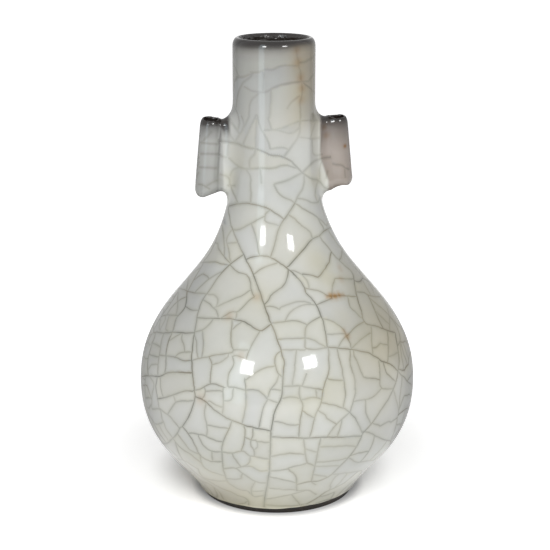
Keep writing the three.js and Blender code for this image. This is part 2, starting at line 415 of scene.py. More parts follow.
def neck_mesh():
    radius = NECK_RADIUS - SKIN_INSET
    bore = NECK_RADIUS - NECK_WALL
    crest = NECK_RADIUS - NECK_WALL * LIP_CREST_SHARE
    outer_end = TOTAL_HEIGHT - LIP_OUTER_FALL
    inner_end = TOTAL_HEIGHT - LIP_INNER_FALL
    return turned([
        wall_run(outer_radius, NECK_SEAM, outer_end, OUTER_STEP, 1),
        arc_run((crest, outer_end), radius - crest, LIP_OUTER_FALL, 0, 90, steps=10),
        arc_run((crest, inner_end), crest - bore, LIP_INNER_FALL, 90, 180, steps=8),
        wall_run(inner_radius, inner_end, NECK_SEAM, INNER_STEP, -1),
        across_wall(inner_radius, outer_radius, NECK_SEAM),
    ])


def foot_mesh():
    """The bare clay ring, rounded by wear along its lower edge, with a gritty skin."""
    def clay_radius(height):
        return outer_radius(height) - GLAZE_STEP

    bevel = FOOT_BEVEL
    inside = FOOT_RING_INSIDE
    inner_corner = (inside, FOOT_RING_INNER_HEIGHT)
    points, faces, normals = turned([
        line_run((inside + bevel, 0), (clay_radius(0) - bevel, 0), FOOT_FLAT_STEP),
        arc_run((clay_radius(bevel) - bevel, bevel), bevel, bevel, -90, 0, steps=4),
        wall_run(clay_radius, bevel, FOOT_SEAT, FOOT_STEP, 1),
        line_run((clay_radius(FOOT_SEAT), FOOT_SEAT), CHAMFER_START, FLAT_STEP),
        line_run(CHAMFER_START, inner_corner, FOOT_FLAT_STEP),
        line_run(inner_corner, (inside, bevel), FOOT_FLAT_STEP),
        arc_run((inside + bevel, bevel), bevel, bevel, 180, 270, steps=4),
    ])
    for i, point in enumerate(points):
        if bevel < point[2] < FOOT_SEAT - bevel:
            bump = noise.noise(Vector(point * GRIT_SCALE)) * GRIT_HEIGHT
            points[i, :2] *= 1 + bump / np.hypot(*point[:2])
    return points, faces, normals


# Lugs

def soft_min(a, b, blend):
    """The lower of two distances, with a rounded change from one to the other."""
    share = np.clip(blend - np.abs(a - b), 0, None) / blend
    return np.minimum(a, b) - share * share * blend / 4


def neck_gap(points):
    height = points[:, 2]
    gap = np.hypot(points[:, 0], points[:, 1]) - outer_radius(height)
    return gap / np.hypot(1, outer_slope(height))


def rounded_corner(a, b, radius):
    """The inside of two faces at once, with a rounded edge where they meet."""
    a = a + radius
    b = b + radius
    return np.minimum(np.maximum(a, b), 0) + np.hypot(np.maximum(a, 0), np.maximum(b, 0)) - radius


def fillet_at(height, lug):
    """How far the rounded change between the neck and a lug reaches, which differs along it."""
    fillets = (WEB_LOWER_FILLET, lug["fillet"], WEB_UPPER_FILLET)
    return np.interp(height, WEB_FILLET_HEIGHTS, fillets)


def lug_gap(points, lug):
    """Distance from a lug's tube and web, below 0 inside them."""
    top, reach, length, groove = lug["top"], lug["reach"], lug["length"], lug["groove"]
    x = points[:, 0] * lug["side"]
    y = points[:, 1]
    z = points[:, 2]
    sin, cos = math.sin(LUG_LEAN), math.cos(LUG_LEAN)
    down = (x - reach) * sin + (top - z) * cos
    across = (x - reach) * cos + (z - top) * sin
    from_axis = np.hypot(across, y)
    tube_side = from_axis - (LUG_RADIUS + LUG_TAPER * down)
    rim_end = -down - lug["top_slant"] * y
    rim = rounded_corner(tube_side, rim_end * LUG_RIM_ROUND / LUG_RIM_FALL, LUG_RIM_ROUND)
    foot_share = LUG_FOOT_ROUND / LUG_FOOT_RISE
    foot_end = down - length - lug["foot_slant"] * np.minimum(across + LUG_FOOT_LOW, 0)
    tube = np.maximum(rim, rounded_corner(tube_side, foot_end * foot_share, LUG_FOOT_ROUND))
    tube_foot = top - length * cos
    end_height = max(lug["web_bottom"], tube_foot + LUG_RIM_ROUND)
    foot_reach = reach + length * sin
    rise = np.clip((x - WEB_ROOT_REACH) / (foot_reach - WEB_ROOT_REACH), 0, 1)
    bottom = lug["web_bottom"] + (end_height - lug["web_bottom"]) * rise
    web = rounded_corner(np.abs(y) - WEB_HALF, np.maximum(z - WEB_TOP, bottom - z), WEB_ROUND)
    web = np.maximum(np.maximum(web, across), LUG_INNER_END - x)
    blend = groove + (WEB_FOOT_FILLET - groove) * (1 - smooth_step(*WEB_FOOT_RANGE, z))
    joined = soft_min(tube, web, blend)
    bore = LUG_BORE - from_axis
    return -soft_min(-joined, -bore, LUG_BORE_ROUND)


def slopes(gap, points):
    """Which way a distance grows fastest at each point."""
    parts = []
    for step in np.eye(3) * SLOPE_REACH:
        parts.append((gap(points + step) - gap(points - step)) / (2 * SLOPE_REACH))
    return np.stack(parts, 1)


def skin_of(gap, low, high, step):
    """Points and quads round the solid where the gap is below 0, with one point to a grid cell."""
    low, high = np.array(low), np.array(high)
    counts = np.ceil((high - low) / step).astype(int) + 1
    axes = [low[i] + step * np.arange(counts[i]) for i in range(3)]
    grid = np.stack(np.meshgrid(*axes, indexing="ij"), -1)
    values = gap(grid.reshape(-1, 3)).reshape(counts)
    total = np.zeros([*(counts - 1), 3])
    crossings = np.zeros(counts - 1)
    crossed_edges = []
    for axis in range(3):
        near, far = np.moveaxis(values, axis, 0)[:-1], np.moveaxis(values, axis, 0)[1:]
        start = np.moveaxis(grid, axis, 0)[:-1]
        crossed = (near < 0) != (far < 0)
        share = np.where(crossed, near / np.where(crossed, near - far, 1), 0)
        place = start + share[..., None] * step * np.eye(3)[axis]
        place = np.where(crossed[..., None], place, 0)
        for du in (0, 1):
            for dv in (0, 1):
                window = (
                    slice(None),
                    slice(du, crossed.shape[1] - 1 + du),
                    slice(dv, crossed.shape[2] - 1 + dv),
                )
                total += np.moveaxis(place[window], 0, axis)
                crossings += np.moveaxis(crossed[window], 0, axis)
        crossed_edges.append((crossed, near < 0))
    used = crossings > 0
    numbers = np.full(used.shape, -1)
    numbers[used] = np.arange(used.sum())
    points = total[used] / crossings[used][:, None]
    quads = []
    for axis, (crossed, near_inside) in enumerate(crossed_edges):
        cells = np.moveaxis(numbers, axis, 0)
        spots = np.argwhere(crossed[:, 1:-1, 1:-1]) + (0, 1, 1)
        i, j, k = spots.T
        corners = [cells[i, j - 1, k - 1], cells[i, j, k - 1], cells[i, j, k], cells[i, j - 1, k]]
        quad = np.stack(corners, 1)
        flip = near_inside[i, j, k] != (axis != 1)
        quad[flip] = quad[flip][:, ::-1]
        quads.append(quad)
    return points, np.vstack(quads)


def lug_mesh(lug):
    """A lug with its fillet on the neck, and a shallow root that sits inside the neck's wall."""
    def own(points):
        return lug_gap(points, lug)

    def joined(points):
        return soft_min(neck_gap(points), own(points), fillet_at(points[:, 2], lug))

    def solid(points):
        core = -(neck_gap(points) + LUG_CORE_INSET)
        near = own(points) - (fillet_at(points[:, 2], lug) + LUG_CUT)
        return np.maximum(np.maximum(joined(points), core), near)

    reach = lug["reach"] + lug["length"] * math.sin(LUG_LEAN) + LUG_RADIUS + LUG_GRID_SIDE
    low = [LUG_INNER_END, -LUG_GRID_HALF, lug["top"] - lug["length"] - LUG_GRID_RISE]
    high = [reach, LUG_GRID_HALF, lug["top"] + LUG_GRID_RISE]
    if lug["side"] < 0:
        low[0], high[0] = -high[0], -low[0]
    points, quads = skin_of(solid, low, high, LUG_CELL)
    core_side = neck_gap(points) < -LUG_CORE_INSET / 2
    edge_side = own(points) > fillet_at(points[:, 2], lug)
    outside = ~(core_side | edge_side)
    for _ in range(SKIN_PASSES):
        slope = slopes(joined, points)
        size = (slope * slope).sum(1)
        move = (joined(points) / np.maximum(size, LEAST_SLOPE))[:, None] * slope
        move = np.clip(move, -LONGEST_MOVE, LONGEST_MOVE)
        points = np.where(outside[:, None], points - move, points)
    slope = slopes(joined, points)
    normals = slope / np.linalg.norm(slope, axis=1)[:, None]
    return points, quads, normals, outside & (joined(points) < ON_SKIN)


def new_object(name, points, faces):
    """A mesh object at the origin."""
    mesh = bpy.data.meshes.new(name)
    mesh.from_pydata(points, [], faces)
    made = bpy.data.objects.new(name, mesh)
    bpy.context.scene.collection.objects.link(made)
    return made


def make_piece(name, points, faces, corner_normals=None, point_normals=None):
    """A piece that is shaded smooth by its corners' or its points' normals."""
    piece = new_object(name, (settled(points) * MM).tolist(), faces)
    mesh = piece.data
    mesh.validate()
    mesh.polygons.foreach_set("use_smooth", np.ones(len(mesh.polygons), bool))
    if corner_normals is not None:
        mesh.normals_split_custom_set(corner_normals.tolist())
    if point_normals is not None:
        mesh.normals_split_custom_set_from_vertices(point_normals.tolist())
    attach(piece, "root")
    return piece


# The skin that the crackle runs over, gathered while the pieces are made
SKIN_TOP = TOTAL_HEIGHT - 2
SKIN_BOTTOM = GLAZE_EDGE - 1.5
SKIN_DEPTH = 0.25  # a face deeper than this isn't on the outside
BLEND_LEAST = 0.005  # a face that a lug's fillet covers by this much is hidden

skin_points = []
skin_faces = []


def add_to_skin(points, faces):
    start = sum(len(part) for part in skin_points)
    skin_points.append(settled(points))
    skin_faces.extend([[corner + start for corner in face] for face in faces])


def outer_faces(points, faces):
    """The faces on the outside that neither a lug nor the bare foot hides."""
    centres = np.array([points[face].mean(0) for face in faces])
    height = centres[:, 2]
    shown = np.hypot(centres[:, 0], centres[:, 1]) > outer_radius(height) - SKIN_DEPTH
    shown &= (height < SKIN_TOP) & (height > SKIN_BOTTOM)
    for lug in LUG_SIDES.values():
        merged = soft_min(neck_gap(centres), lug_gap(centres, lug), fillet_at(height, lug))
        shown &= merged > neck_gap(centres) - BLEND_LEAST
    return [faces[i] for i in np.nonzero(shown)[0]]


pieces = []
glazed_parts = {
    "lower_body_glaze": (lower_body_mesh, "body_glaze", ("lower_body",)),
    "upper_body_glaze": (upper_body_mesh, "body_glaze", ("upper_body", "belly_slip_joint")),
    "neck_glaze": (neck_mesh, "neck_glaze", ("neck", "neck_slip_joint")),
}
for part_name, (build, slot, nodes) in glazed_parts.items():
    part_points, part_faces, part_normals = build()
    part = make_piece(part_name, part_points, part_faces, corner_normals=part_normals)
    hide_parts(*nodes)
    pieces.append(part)
    add_to_skin(part_points, outer_faces(part_points, part_faces))

for lug_name, lug in LUG_SIDES.items():
    lug_points, lug_quads, lug_normals, lug_shown = lug_mesh(lug)
    lug_quads = lug_quads.tolist()
    part = make_piece(lug_name + "_glaze", lug_points, lug_quads, point_normals=lug_normals)
    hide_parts(lug_name)
    pieces.append(part)
    add_to_skin(lug_points, [quad for quad in lug_quads if lug_shown[quad].all()])

foot_points, foot_faces, foot_normals = foot_mesh()
foot = make_piece("foot_clay", foot_points, foot_faces, corner_normals=foot_normals)
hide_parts("foot_ring", "foot_slip_joint")


# The crackle. These are the cracks seen in the photograph, traced as pixels of its frame.
# The first number of a route is the crack's width in millimetres.

WIDE = 0.29
MIDDLE = 0.19
FINE = 0.13
CORE_STAINS = {WIDE: 0.75, MIDDLE: 0.54, FINE: 0.43}  # how dark each one's middle is

NECK_CRACKS = (
    (WIDE, (219, 141), (226, 141), (234, 143), (250, 148), (260, 150), (271, 155), (284, 157),
     (296, 166), (302, 173)),
    (WIDE, (302, 173), (306, 169), (311, 164), (315, 161), (321, 159), (331, 157)),
    (WIDE, (302, 173), (310, 178), (320, 182), (324, 187), (329, 189)),
    (MIDDLE, (236, 77), (244, 77)),
    (MIDDLE, (244, 86), (255, 92), (266, 92), (275, 87), (291, 83), (310, 81)),
    (MIDDLE, (271, 90), (271, 100), (270, 113)),
    (MIDDLE, (240, 115), (250, 113), (260, 113), (271, 113), (288, 110), (299, 112), (310, 113)),
    (MIDDLE, (257, 116), (262, 131), (269, 143), (270, 149)),
    (MIDDLE, (300, 125), (300, 131), (298, 137), (289, 150), (284, 157)),
    (MIDDLE, (220, 156), (228, 158), (239, 167), (245, 169), (261, 168), (275, 168), (283, 165), (296, 168)),
    (MIDDLE, (255, 150), (254, 155), (250, 159), (249, 168)),
    (MIDDLE, (302, 173), (288, 180), (274, 184)),
    (MIDDLE, (274, 184), (280, 195), (286, 198), (295, 203)),
    (MIDDLE, (304, 176), (304, 183), (302, 190), (298, 196), (295, 203)),
    (MIDDLE, (228, 186), (250, 185), (274, 184)),
    (MIDDLE, (220, 174), (229, 178), (230, 184), (236, 198), (239, 203)),
    (FINE, (250, 72), (260, 72), (266, 69), (271, 70), (280, 66), (298, 66)),
    (FINE, (296, 46), (297, 56), (299, 66), (301, 78), (302, 92), (300, 104), (300, 112)),
    (FINE, (263, 75), (263, 91)),
    (FINE, (259, 93), (251, 101), (249, 111)),
    (FINE, (299, 96), (290, 104), (287, 110)),
    (FINE, (256, 115), (252, 124), (247, 135), (243, 145)),
    (FINE, (241, 116), (244, 124), (237, 138), (234, 143)),
    (FINE, (289, 125), (300, 121), (320, 121)),
    (FINE, (265, 130), (275, 130), (290, 134)),
    (FINE, (256, 129), (255, 148)),
    (FINE, (271, 149), (283, 148), (289, 150)),
    (FINE, (300, 137), (310, 139), (320, 138)),
    (FINE, (241, 168), (240, 185)),
    (FINE, (260, 169), (261, 185)),
    (FINE, (239, 167), (233, 170), (229, 178)),
    (FINE, (251, 186), (251, 204)),
)
LUG_CRACKS = (
    (MIDDLE, (200.5, 143), (219, 144)),
    (MIDDLE, (200, 154), (219, 154)),
    (MIDDLE, (199, 167), (218.5, 168)),
    (FINE, (212, 131), (207, 137), (202, 142)),
    (FINE, (198, 184), (206, 187), (210, 190)),
    (FINE, (208, 185), (213, 182), (219, 180)),
    (MIDDLE, (333, 163), (340, 165), (346, 168), (351, 169)),
    (FINE, (345, 168), (346, 180)),
    (FINE, (328, 170), (326, 180)),
)
SHOULDER_CRACKS = (
    (WIDE, (228, 208), (230, 220), (233, 230), (240, 248), (249, 265), (257, 283), (265, 308), (271, 323)),
    (WIDE, (271, 323), (281, 350), (284, 363), (283, 376), (282, 396), (275, 411), (271, 431)),
    (WIDE, (271, 431), (270, 459), (269, 473), (268, 480), (265, 495), (264, 508)),
    (WIDE, (229, 206), (235, 204), (257, 205), (264, 207), (276, 213), (284, 219)),
    (WIDE, (295, 203), (288, 214), (280, 226), (275, 242), (271, 256)),
    (MIDDLE, (288, 214), (301, 225), (310, 233), (313, 239)),
    (MIDDLE, (296, 204), (309, 212), (316, 216), (322, 226), (324, 230)),
    (WIDE, (328, 229), (324, 231), (319, 236), (314, 238), (304, 249), (295, 259), (288, 267)),
    (MIDDLE, (319, 236), (331, 251), (337, 258), (350, 270)),
    (WIDE, (243, 255), (233, 262), (219, 276), (209, 291), (203, 299), (198, 311), (196, 324), (193, 340)),
    (WIDE, (193, 340), (192, 360), (193, 380), (195, 396), (189, 416), (183, 426)),
    (WIDE, (247, 259), (252, 257), (259, 256), (267, 256), (279, 263), (291, 271), (302, 284), (306, 292)),
    (WIDE, (306, 292), (317, 306), (320, 314), (325, 329), (327, 347)),
    (MIDDLE, (233, 230), (241, 229), (248, 225), (256, 221)),
    (FINE, (270, 210), (265, 215), (265, 220), (274, 224), (280, 226)),
    (FINE, (231, 231), (227, 238), (229, 252), (231, 262)),
    (FINE, (228, 243), (238, 243)),
    (MIDDLE, (204, 262), (214, 262), (222, 264), (230, 266)),
    (MIDDLE, (230, 266), (236, 271), (249, 278), (251, 284), (252, 292), (254, 297)),
    (MIDDLE, (277, 263), (261, 269), (253, 275)),
    (FINE, (224, 303), (231, 300), (245, 294), (250, 290)),
    (MIDDLE, (181, 289), (187, 291), (206, 294)),
    (FINE, (208, 294), (215, 296), (218, 301), (217, 305)),
    (MIDDLE, (203, 300), (209, 304), (218, 313), (219, 317)),
    (MIDDLE, (221, 272), (209, 279), (199, 288)),
    (FINE, (291, 270), (299, 272), (304, 276), (308, 283), (309, 289)),
    (MIDDLE, (304, 288), (319, 291), (329, 296), (334, 296), (356, 296)),
    (MIDDLE, (316, 305), (323, 302), (332, 298)),
    (FINE, (265, 307), (275, 307), (281, 310)),
    (FINE, (281, 307), (303, 301), (311, 303)),
    (FINE, (285, 321), (288, 315), (303, 305), (311, 304), (316, 305)),
)
RIGHT_CRACKS = (
    (WIDE, (348, 269), (352, 272), (355, 288), (362, 314), (364, 322), (380, 327), (395, 333)),
    (WIDE, (395, 333), (398, 347), (399, 362), (397, 378), (390, 396), (381, 410), (372, 423), (363, 433)),
    (WIDE, (363, 433), (358, 444), (348, 458), (340, 466), (328, 477), (317, 481), (311, 481), (300, 484)),
    (MIDDLE, (356, 292), (364, 293), (371, 296), (379, 297)),
    (FINE, (348, 298), (350, 306), (355, 312), (362, 318)),
    (WIDE, (327, 347), (342, 349), (361, 351), (375, 356), (382, 361), (391, 365), (399, 371)),
    (MIDDLE, (277, 339), (292, 339), (311, 339), (317, 342), (327, 347)),
    (MIDDLE, (305, 339), (306, 349), (315, 349), (327, 348)),
    (MIDDLE, (305, 339), (305, 334), (306, 327), (314, 320), (320, 317)),
    (MIDDLE, (271, 323), (284, 322), (297, 321), (307, 325)),
    (FINE, (328, 320), (334, 322), (344, 331), (347, 336)),
    (MIDDLE, (364, 322), (358, 325), (347, 336)),
    (MIDDLE, (347, 336), (350, 342), (351, 349)),
    (FINE, (345, 337), (341, 342), (338, 348)),
    (FINE, (327, 334), (340, 334)),
    (FINE, (371, 325), (372, 346), (373, 356)),
    (FINE, (370, 333), (364, 337), (351, 349)),
    (MIDDLE, (328, 348), (329, 370), (323, 390), (321, 403), (316, 414), (312, 429), (310, 437)),
    (MIDDLE, (336, 348), (339, 358), (343, 375), (345, 397), (343, 407)),
    (MIDDLE, (350, 350), (350, 359), (355, 381), (355, 394), (350, 412)),
    (FINE, (281, 350), (291, 350), (306, 350)),
    (FINE, (296, 351), (295, 371)),
    (MIDDLE, (281, 351), (276, 355), (275, 362), (279, 374), (283, 378)),
    (FINE, (262, 369), (267, 367), (275, 366)),
    (FINE, (384, 302), (389, 314), (390, 330)),
    (FINE, (401, 325), (405, 336), (409, 347)),
)
LEFT_CRACKS = (
    (WIDE, (187, 291), (186, 302), (185, 307), (176, 319), (173, 331), (168, 342), (166, 360), (165, 372)),
    (MIDDLE, (186, 307), (192, 310), (198, 311)),
    (WIDE, (157, 332), (165, 333), (173, 332), (182, 333), (194, 333)),
    (MIDDLE, (195, 332), (202, 330), (212, 321), (214, 318)),
    (WIDE, (196, 318), (231, 319), (243, 321), (256, 329), (261, 331), (266, 328), (271, 324)),
    (MIDDLE, (260, 331), (253, 343), (247, 356), (246, 360)),
    (MIDDLE, (221, 318), (226, 315), (232, 312), (237, 312), (242, 308), (251, 299), (255, 297)),
    (MIDDLE, (232, 319), (231, 338), (232, 346), (234, 351)),
    (FINE, (237, 312), (236, 319)),
    (FINE, (243, 321), (236, 326), (232, 330)),
    (MIDDLE, (209, 357), (216, 355), (226, 354), (234, 352)),
    (MIDDLE, (209, 358), (212, 367), (211, 372), (210, 384)),
    (FINE, (212, 365), (219, 363), (229, 356)),
    (MIDDLE, (232, 357), (234, 362), (228, 376), (228, 387)),
    (MIDDLE, (194, 390), (200, 389), (210, 384), (216, 384), (222, 387), (227, 388)),
    (FINE, (204, 386), (206, 391), (204, 397)),
    (FINE, (206, 391), (222, 391)),
    (WIDE, (142, 376), (150, 376), (161, 376), (167, 373), (174, 372), (192, 373)),
    (MIDDLE, (158, 375), (158, 368), (160, 351), (161, 342), (164, 333)),
    (MIDDLE, (160, 355), (173, 357), (178, 359), (183, 361), (192, 360)),
    (FINE, (175, 357), (178, 354), (184, 352), (191, 352)),
    (FINE, (185, 352), (184, 345), (182, 340), (182, 333)),
    (FINE, (169, 341), (175, 337), (182, 333)),
    (FINE, (194, 334), (196, 342), (197, 350)),
    (FINE, (203, 331), (203, 349), (202, 358)),
    (FINE, (193, 360), (201, 358), (209, 357)),
    (WIDE, (157, 399), (164, 398), (176, 394), (186, 391), (194, 391)),
    (MIDDLE, (157, 377), (156, 386), (157, 394), (159, 408)),
    (FINE, (150, 377), (154, 387), (152, 395), (152, 409)),
    (FINE, (160, 377), (161, 390), (163, 398)),
    (MIDDLE, (228, 387), (237, 388), (246, 390), (255, 390), (261, 392), (268, 399)),
    (MIDDLE, (245, 377), (246, 401), (244, 414), (242, 424)),
    (FINE, (223, 388), (223, 408), (222, 415)),
    (FINE, (279, 375), (277, 381), (270, 391), (268, 398)),
    (FINE, (270, 389), (282, 390)),
    (FINE, (235, 350), (249, 350)),
    (FINE, (235, 356), (240, 357), (246, 359)),
)
LOWER_LEFT_CRACKS = (
    (MIDDLE, (159, 408), (163, 411), (168, 414), (176, 424), (180, 428), (183, 426)),
    (WIDE, (183, 426), (192, 439), (197, 450), (201, 457)),
    (MIDDLE, (180, 428), (178, 432), (168, 443)),
    (MIDDLE, (152, 409), (159, 409), (163, 421), (172, 438)),
    (MIDDLE, (172, 438), (182, 448), (193, 456), (197, 460)),
    (MIDDLE, (193, 401), (185, 401), (176, 402), (173, 406), (168, 414)),
    (FINE, (173, 395), (176, 402)),
    (WIDE, (195, 397), (203, 400), (211, 407), (227, 418), (242, 424), (257, 428), (271, 431)),
    (FINE, (202, 399), (206, 404), (205, 409), (207, 428), (207, 436)),
    (FINE, (209, 401), (219, 406), (223, 408)),
    (FINE, (223, 401), (231, 400), (233, 389)),
    (MIDDLE, (268, 399), (264, 406), (261, 418), (259, 428)),
    (FINE, (268, 399), (273, 401), (279, 403)),
    (MIDDLE, (253, 428), (253, 436), (251, 441), (251, 446), (254, 449), (254, 457)),
    (FINE, (255, 440), (257, 443), (257, 448), (254, 450)),
    (MIDDLE, (257, 442), (271, 442)),
    (MIDDLE, (244, 437), (250, 439), (256, 441)),
    (MIDDLE, (250, 456), (262, 458), (270, 459)),
    (MIDDLE, (244, 425), (245, 430), (244, 442), (241, 452)),
    (MIDDLE, (232, 421), (229, 429), (223, 442), (222, 461), (223, 469), (227, 479)),
    (FINE, (207, 425), (213, 426), (230, 429)),
    (MIDDLE, (188, 433), (194, 433), (209, 437), (215, 440), (223, 442)),
    (MIDDLE, (199, 436), (202, 444), (207, 449), (220, 452), (232, 453), (242, 451), (251, 457)),
    (MIDDLE, (232, 453), (234, 458), (241, 467)),
    (FINE, (236, 468), (241, 467), (249, 463), (250, 456)),
    (MIDDLE, (201, 457), (206, 460), (212, 462), (222, 462)),
    (FINE, (212, 452), (212, 461)),
    (FINE, (200, 458), (202, 464), (213, 472), (223, 475)),
    (FINE, (181, 460), (192, 465), (198, 469)),
    (FINE, (198, 468), (201, 475), (219, 481), (227, 480)),
    (MIDDLE, (203, 482), (209, 484), (217, 490), (224, 499)),
    (MIDDLE, (213, 484), (223, 489), (232, 492), (239, 496), (249, 501), (249, 507)),
    (FINE, (227, 479), (229, 483), (241, 490), (247, 491), (251, 495)),
    (MIDDLE, (223, 469), (236, 468), (245, 475), (255, 481), (268, 483)),
    (FINE, (241, 467), (251, 466), (261, 471), (269, 470)),
    (FINE, (255, 482), (251, 491), (252, 495), (265, 496)),
    (FINE, (251, 491), (265, 491)),
    (MIDDLE, (269, 471), (282, 470), (288, 469)),
    (FINE, (272, 422), (279, 422), (290, 425), (301, 424)),
    (FINE, (265, 499), (284, 496), (301, 492)),
)
LOWER_RIGHT_CRACKS = (
    (MIDDLE, (283, 386), (298, 386), (306, 387), (323, 390)),
    (MIDDLE, (307, 373), (305, 378), (302, 386)),
    (MIDDLE, (299, 388), (299, 393), (303, 404), (301, 416), (299, 437)),
    (FINE, (284, 398), (294, 397), (300, 398)),
    (FINE, (303, 399), (319, 398), (321, 399)),
    (FINE, (316, 390), (317, 398)),
    (FINE, (327, 378), (331, 380), (343, 380)),
    (MIDDLE, (321, 403), (336, 406), (347, 410), (354, 417), (360, 428), (363, 433)),
    (MIDDLE, (363, 431), (370, 433), (376, 436), (389, 441)),
    (MIDDLE, (399, 371), (403, 376), (407, 381), (413, 387)),
    (FINE, (379, 360), (380, 375), (381, 388), (393, 389)),
    (FINE, (381, 389), (373, 397), (355, 401)),
    (FINE, (393, 389), (398, 405), (397, 421), (394, 432)),
    (FINE, (350, 412), (334, 427), (326, 438)),
    (FINE, (342, 419), (340, 429), (337, 437)),
    (WIDE, (271, 437), (313, 438), (342, 437), (361, 436)),
    (MIDDLE, (302, 410), (307, 414), (315, 418)),
    (MIDDLE, (304, 438), (305, 453), (307, 463)),
    (FINE, (305, 449), (318, 452)),
    (MIDDLE, (320, 439), (318, 452), (315, 466), (312, 480)),
    (MIDDLE, (307, 463), (315, 466)),
    (MIDDLE, (307, 463), (288, 468)),
    (MIDDLE, (288, 469), (295, 476), (297, 492)),
    (MIDDLE, (316, 462), (325, 462), (348, 458)),
    (FINE, (315, 466), (324, 466), (340, 466)),
    (MIDDLE, (313, 474), (327, 477)),
    (FINE, (340, 474), (359, 471)),
    (FINE, (311, 481), (316, 485)),
    (FINE, (297, 491), (308, 490), (317, 495)),
    (FINE, (272, 489), (297, 490)),
    (FINE, (292, 495), (295, 499), (301, 507)),
    (FINE, (320, 447), (346, 446)),
    (FINE, (349, 458), (356, 462), (370, 460)),
)

PHOTO_CRACKS = (
    NECK_CRACKS + LUG_CRACKS + SHOULDER_CRACKS + RIGHT_CRACKS + LEFT_CRACKS
    + LOWER_LEFT_CRACKS + LOWER_RIGHT_CRACKS
)
CRACK_SEED = 11
PIXEL_STEP = 1.5
PIXEL_WANDER = (0.7, 0.12, 0.5)  # bends that a traced route leaves out: size, noise scale and layer
PIXEL_SHAKE = (0.5, 0.4, 7.5)  # and smaller ones
CRACK_STEP = 1.0
PATH_STALL = 0.3  # a traced crack ends where the skin shortens a step to this share
GROWTH_STALL = 0.4  # and a grown one to this share
HEADING_POINTS = 3  # how far back from its end a crack's heading is taken
LUG_START = NECK_RADIUS + 3.5
LUG_FRONT = 3.0
FULL_VIEW = 0.35  # how squarely the skin faces the camera where the photograph shows its cracks
FRONT_FULL = 0.6  # and where it shows all of them
ROUTE_BREAK = 9.0  # a longer jump means that the route has passed behind an edge
MEET = 0.8  # two cracks join when they come this close
JOIN = 1.7  # a traced end this close to another crack runs on to it
LONGEST_GROWTH = 90
LONGEST_RUN_ON = 40  # for a traced crack that leaves the photograph
SHORT_RUN_ON = 9  # and for one that ends in full view
GRID = 2.0
CELL_BARRIER = 0.86  # a point this close to a crack doesn't join the cells on its two sides

# How a grown crack wanders, as turns in radians at each step
CURL_START = 0.012
CURL_KEPT = 0.93
CURL_CHANGE = 0.008
TURN_SPREAD = 0.1
KINK_CHANCE = 0.06
KINK_TURNS = (0.3, 0.8)
FIRST_TURN = 0.3

# Cells: half the width that one may keep. In front, where the cracks are traced, few are grown.
SAMPLE_SEED = 5
SAMPLE_COUNT = 16000
MOST_GROWN = 3000
CELL_HALF = 3.9
CELL_SPREAD = 1.3
CELL_NOISE_SCALE = 0.035
LOW_CELLS = (40, 75)
LOW_SMALLER = 0.3
FRONT_LARGER = 1.5
SHOULDER_CELLS = (78, 95)
SHOULDER_LARGER = 3.0
LIP_CELLS = (205, 213)
LIP_LARGER = 12.0
LUG_LARGER = 5.0
FAR_FROM_CRACKS = 200.0  # each gap before the first crack
GAP_REACH = 60.0  # a new crack changes no gap beyond this
PATH_BLOCK = 60  # how many of its points are measured at a time
WIDE_FROM = 9.0  # a gap this large is split by a wide crack
MIDDLE_FROM = 5.2

# A crack's strip: six rails on the skin and one below it. Its stain is soft outside its core.
RAILS = 7
SHORTEST_STEP = 0.15
TIP_SHARE = 0.4
SEEP_REACH = 0.28
SEEP_SHARE = 0.3
HALO_LEAST = 0.75
HALO_SHARE = 2.0
WIDTH_CHANGE = 0.5
WIDTH_NOISE_SCALE = 0.35
SOFT_ZONE = (115, 190)  # higher up, the cracks are finer and fainter
SOFT_NARROWER = 0.25
SOFT_FAINTER = 0.5
SOFT_SEEP = 0.2  # more of the stain seeps out there
LOW_ZONE = (20, 60)  # and low down they are fainter too
LOW_FAINTER = 0.2
PROUD = 0.012
LUG_PROUD = 0.03
FLUSH = 0.002
DEPTH = 0.12

EYE = RIGHT * CAMERA_SHIFT - AHEAD * CAMERA_DISTANCE + np.array([0, 0, CAMERA_HEIGHT])
SIGHT = AHEAD * math.cos(CAMERA_PITCH) - np.array([0, 0, math.sin(CAMERA_PITCH)])
SIGHT_UP = AHEAD * math.sin(CAMERA_PITCH) + np.array([0, 0, math.cos(CAMERA_PITCH)])

all_skin = np.vstack(skin_points)
skin = BVHTree.FromPolygons(all_skin.tolist(), skin_faces)
dice = random.Random(CRACK_SEED)


def seen_at(x, y):
    """Where the camera's line through a pixel meets the skin, or nothing."""
    middle = IMAGE_SIZE / 2
    way = SIGHT * FOCAL_PIXELS + RIGHT * (x - middle) + SIGHT_UP * (middle - y)
    return skin.ray_cast(Vector(EYE), Vector(way).normalized())[0]


def array_of(vectors):
    return np.array([tuple(vector) for vector in vectors])


def smooth_route(corners, spacing):
    """Points at even steps on a smooth curve through the corners."""
    corners = np.array(corners, float)
    length = np.linalg.norm(np.diff(corners, axis=0), axis=1)
    reached = np.concatenate([[0], np.cumsum(length)])
    slope = np.gradient(corners, reached, axis=0)
    along = np.linspace(0, reached[-1], max(2, int(reached[-1] / spacing) + 1))
    k = np.clip(np.searchsorted(reached, along, side="right") - 1, 0, len(length) - 1)
    t = ((along - reached[k]) / length[k])[:, None]
    size = length[k][:, None]
    start = (2 * t**3 - 3 * t**2 + 1) * corners[k] + (t**3 - 2 * t**2 + t) * slope[k] * size
    end = (3 * t**2 - 2 * t**3) * corners[k + 1] + (t**3 - t**2) * slope[k + 1] * size
    return start + end


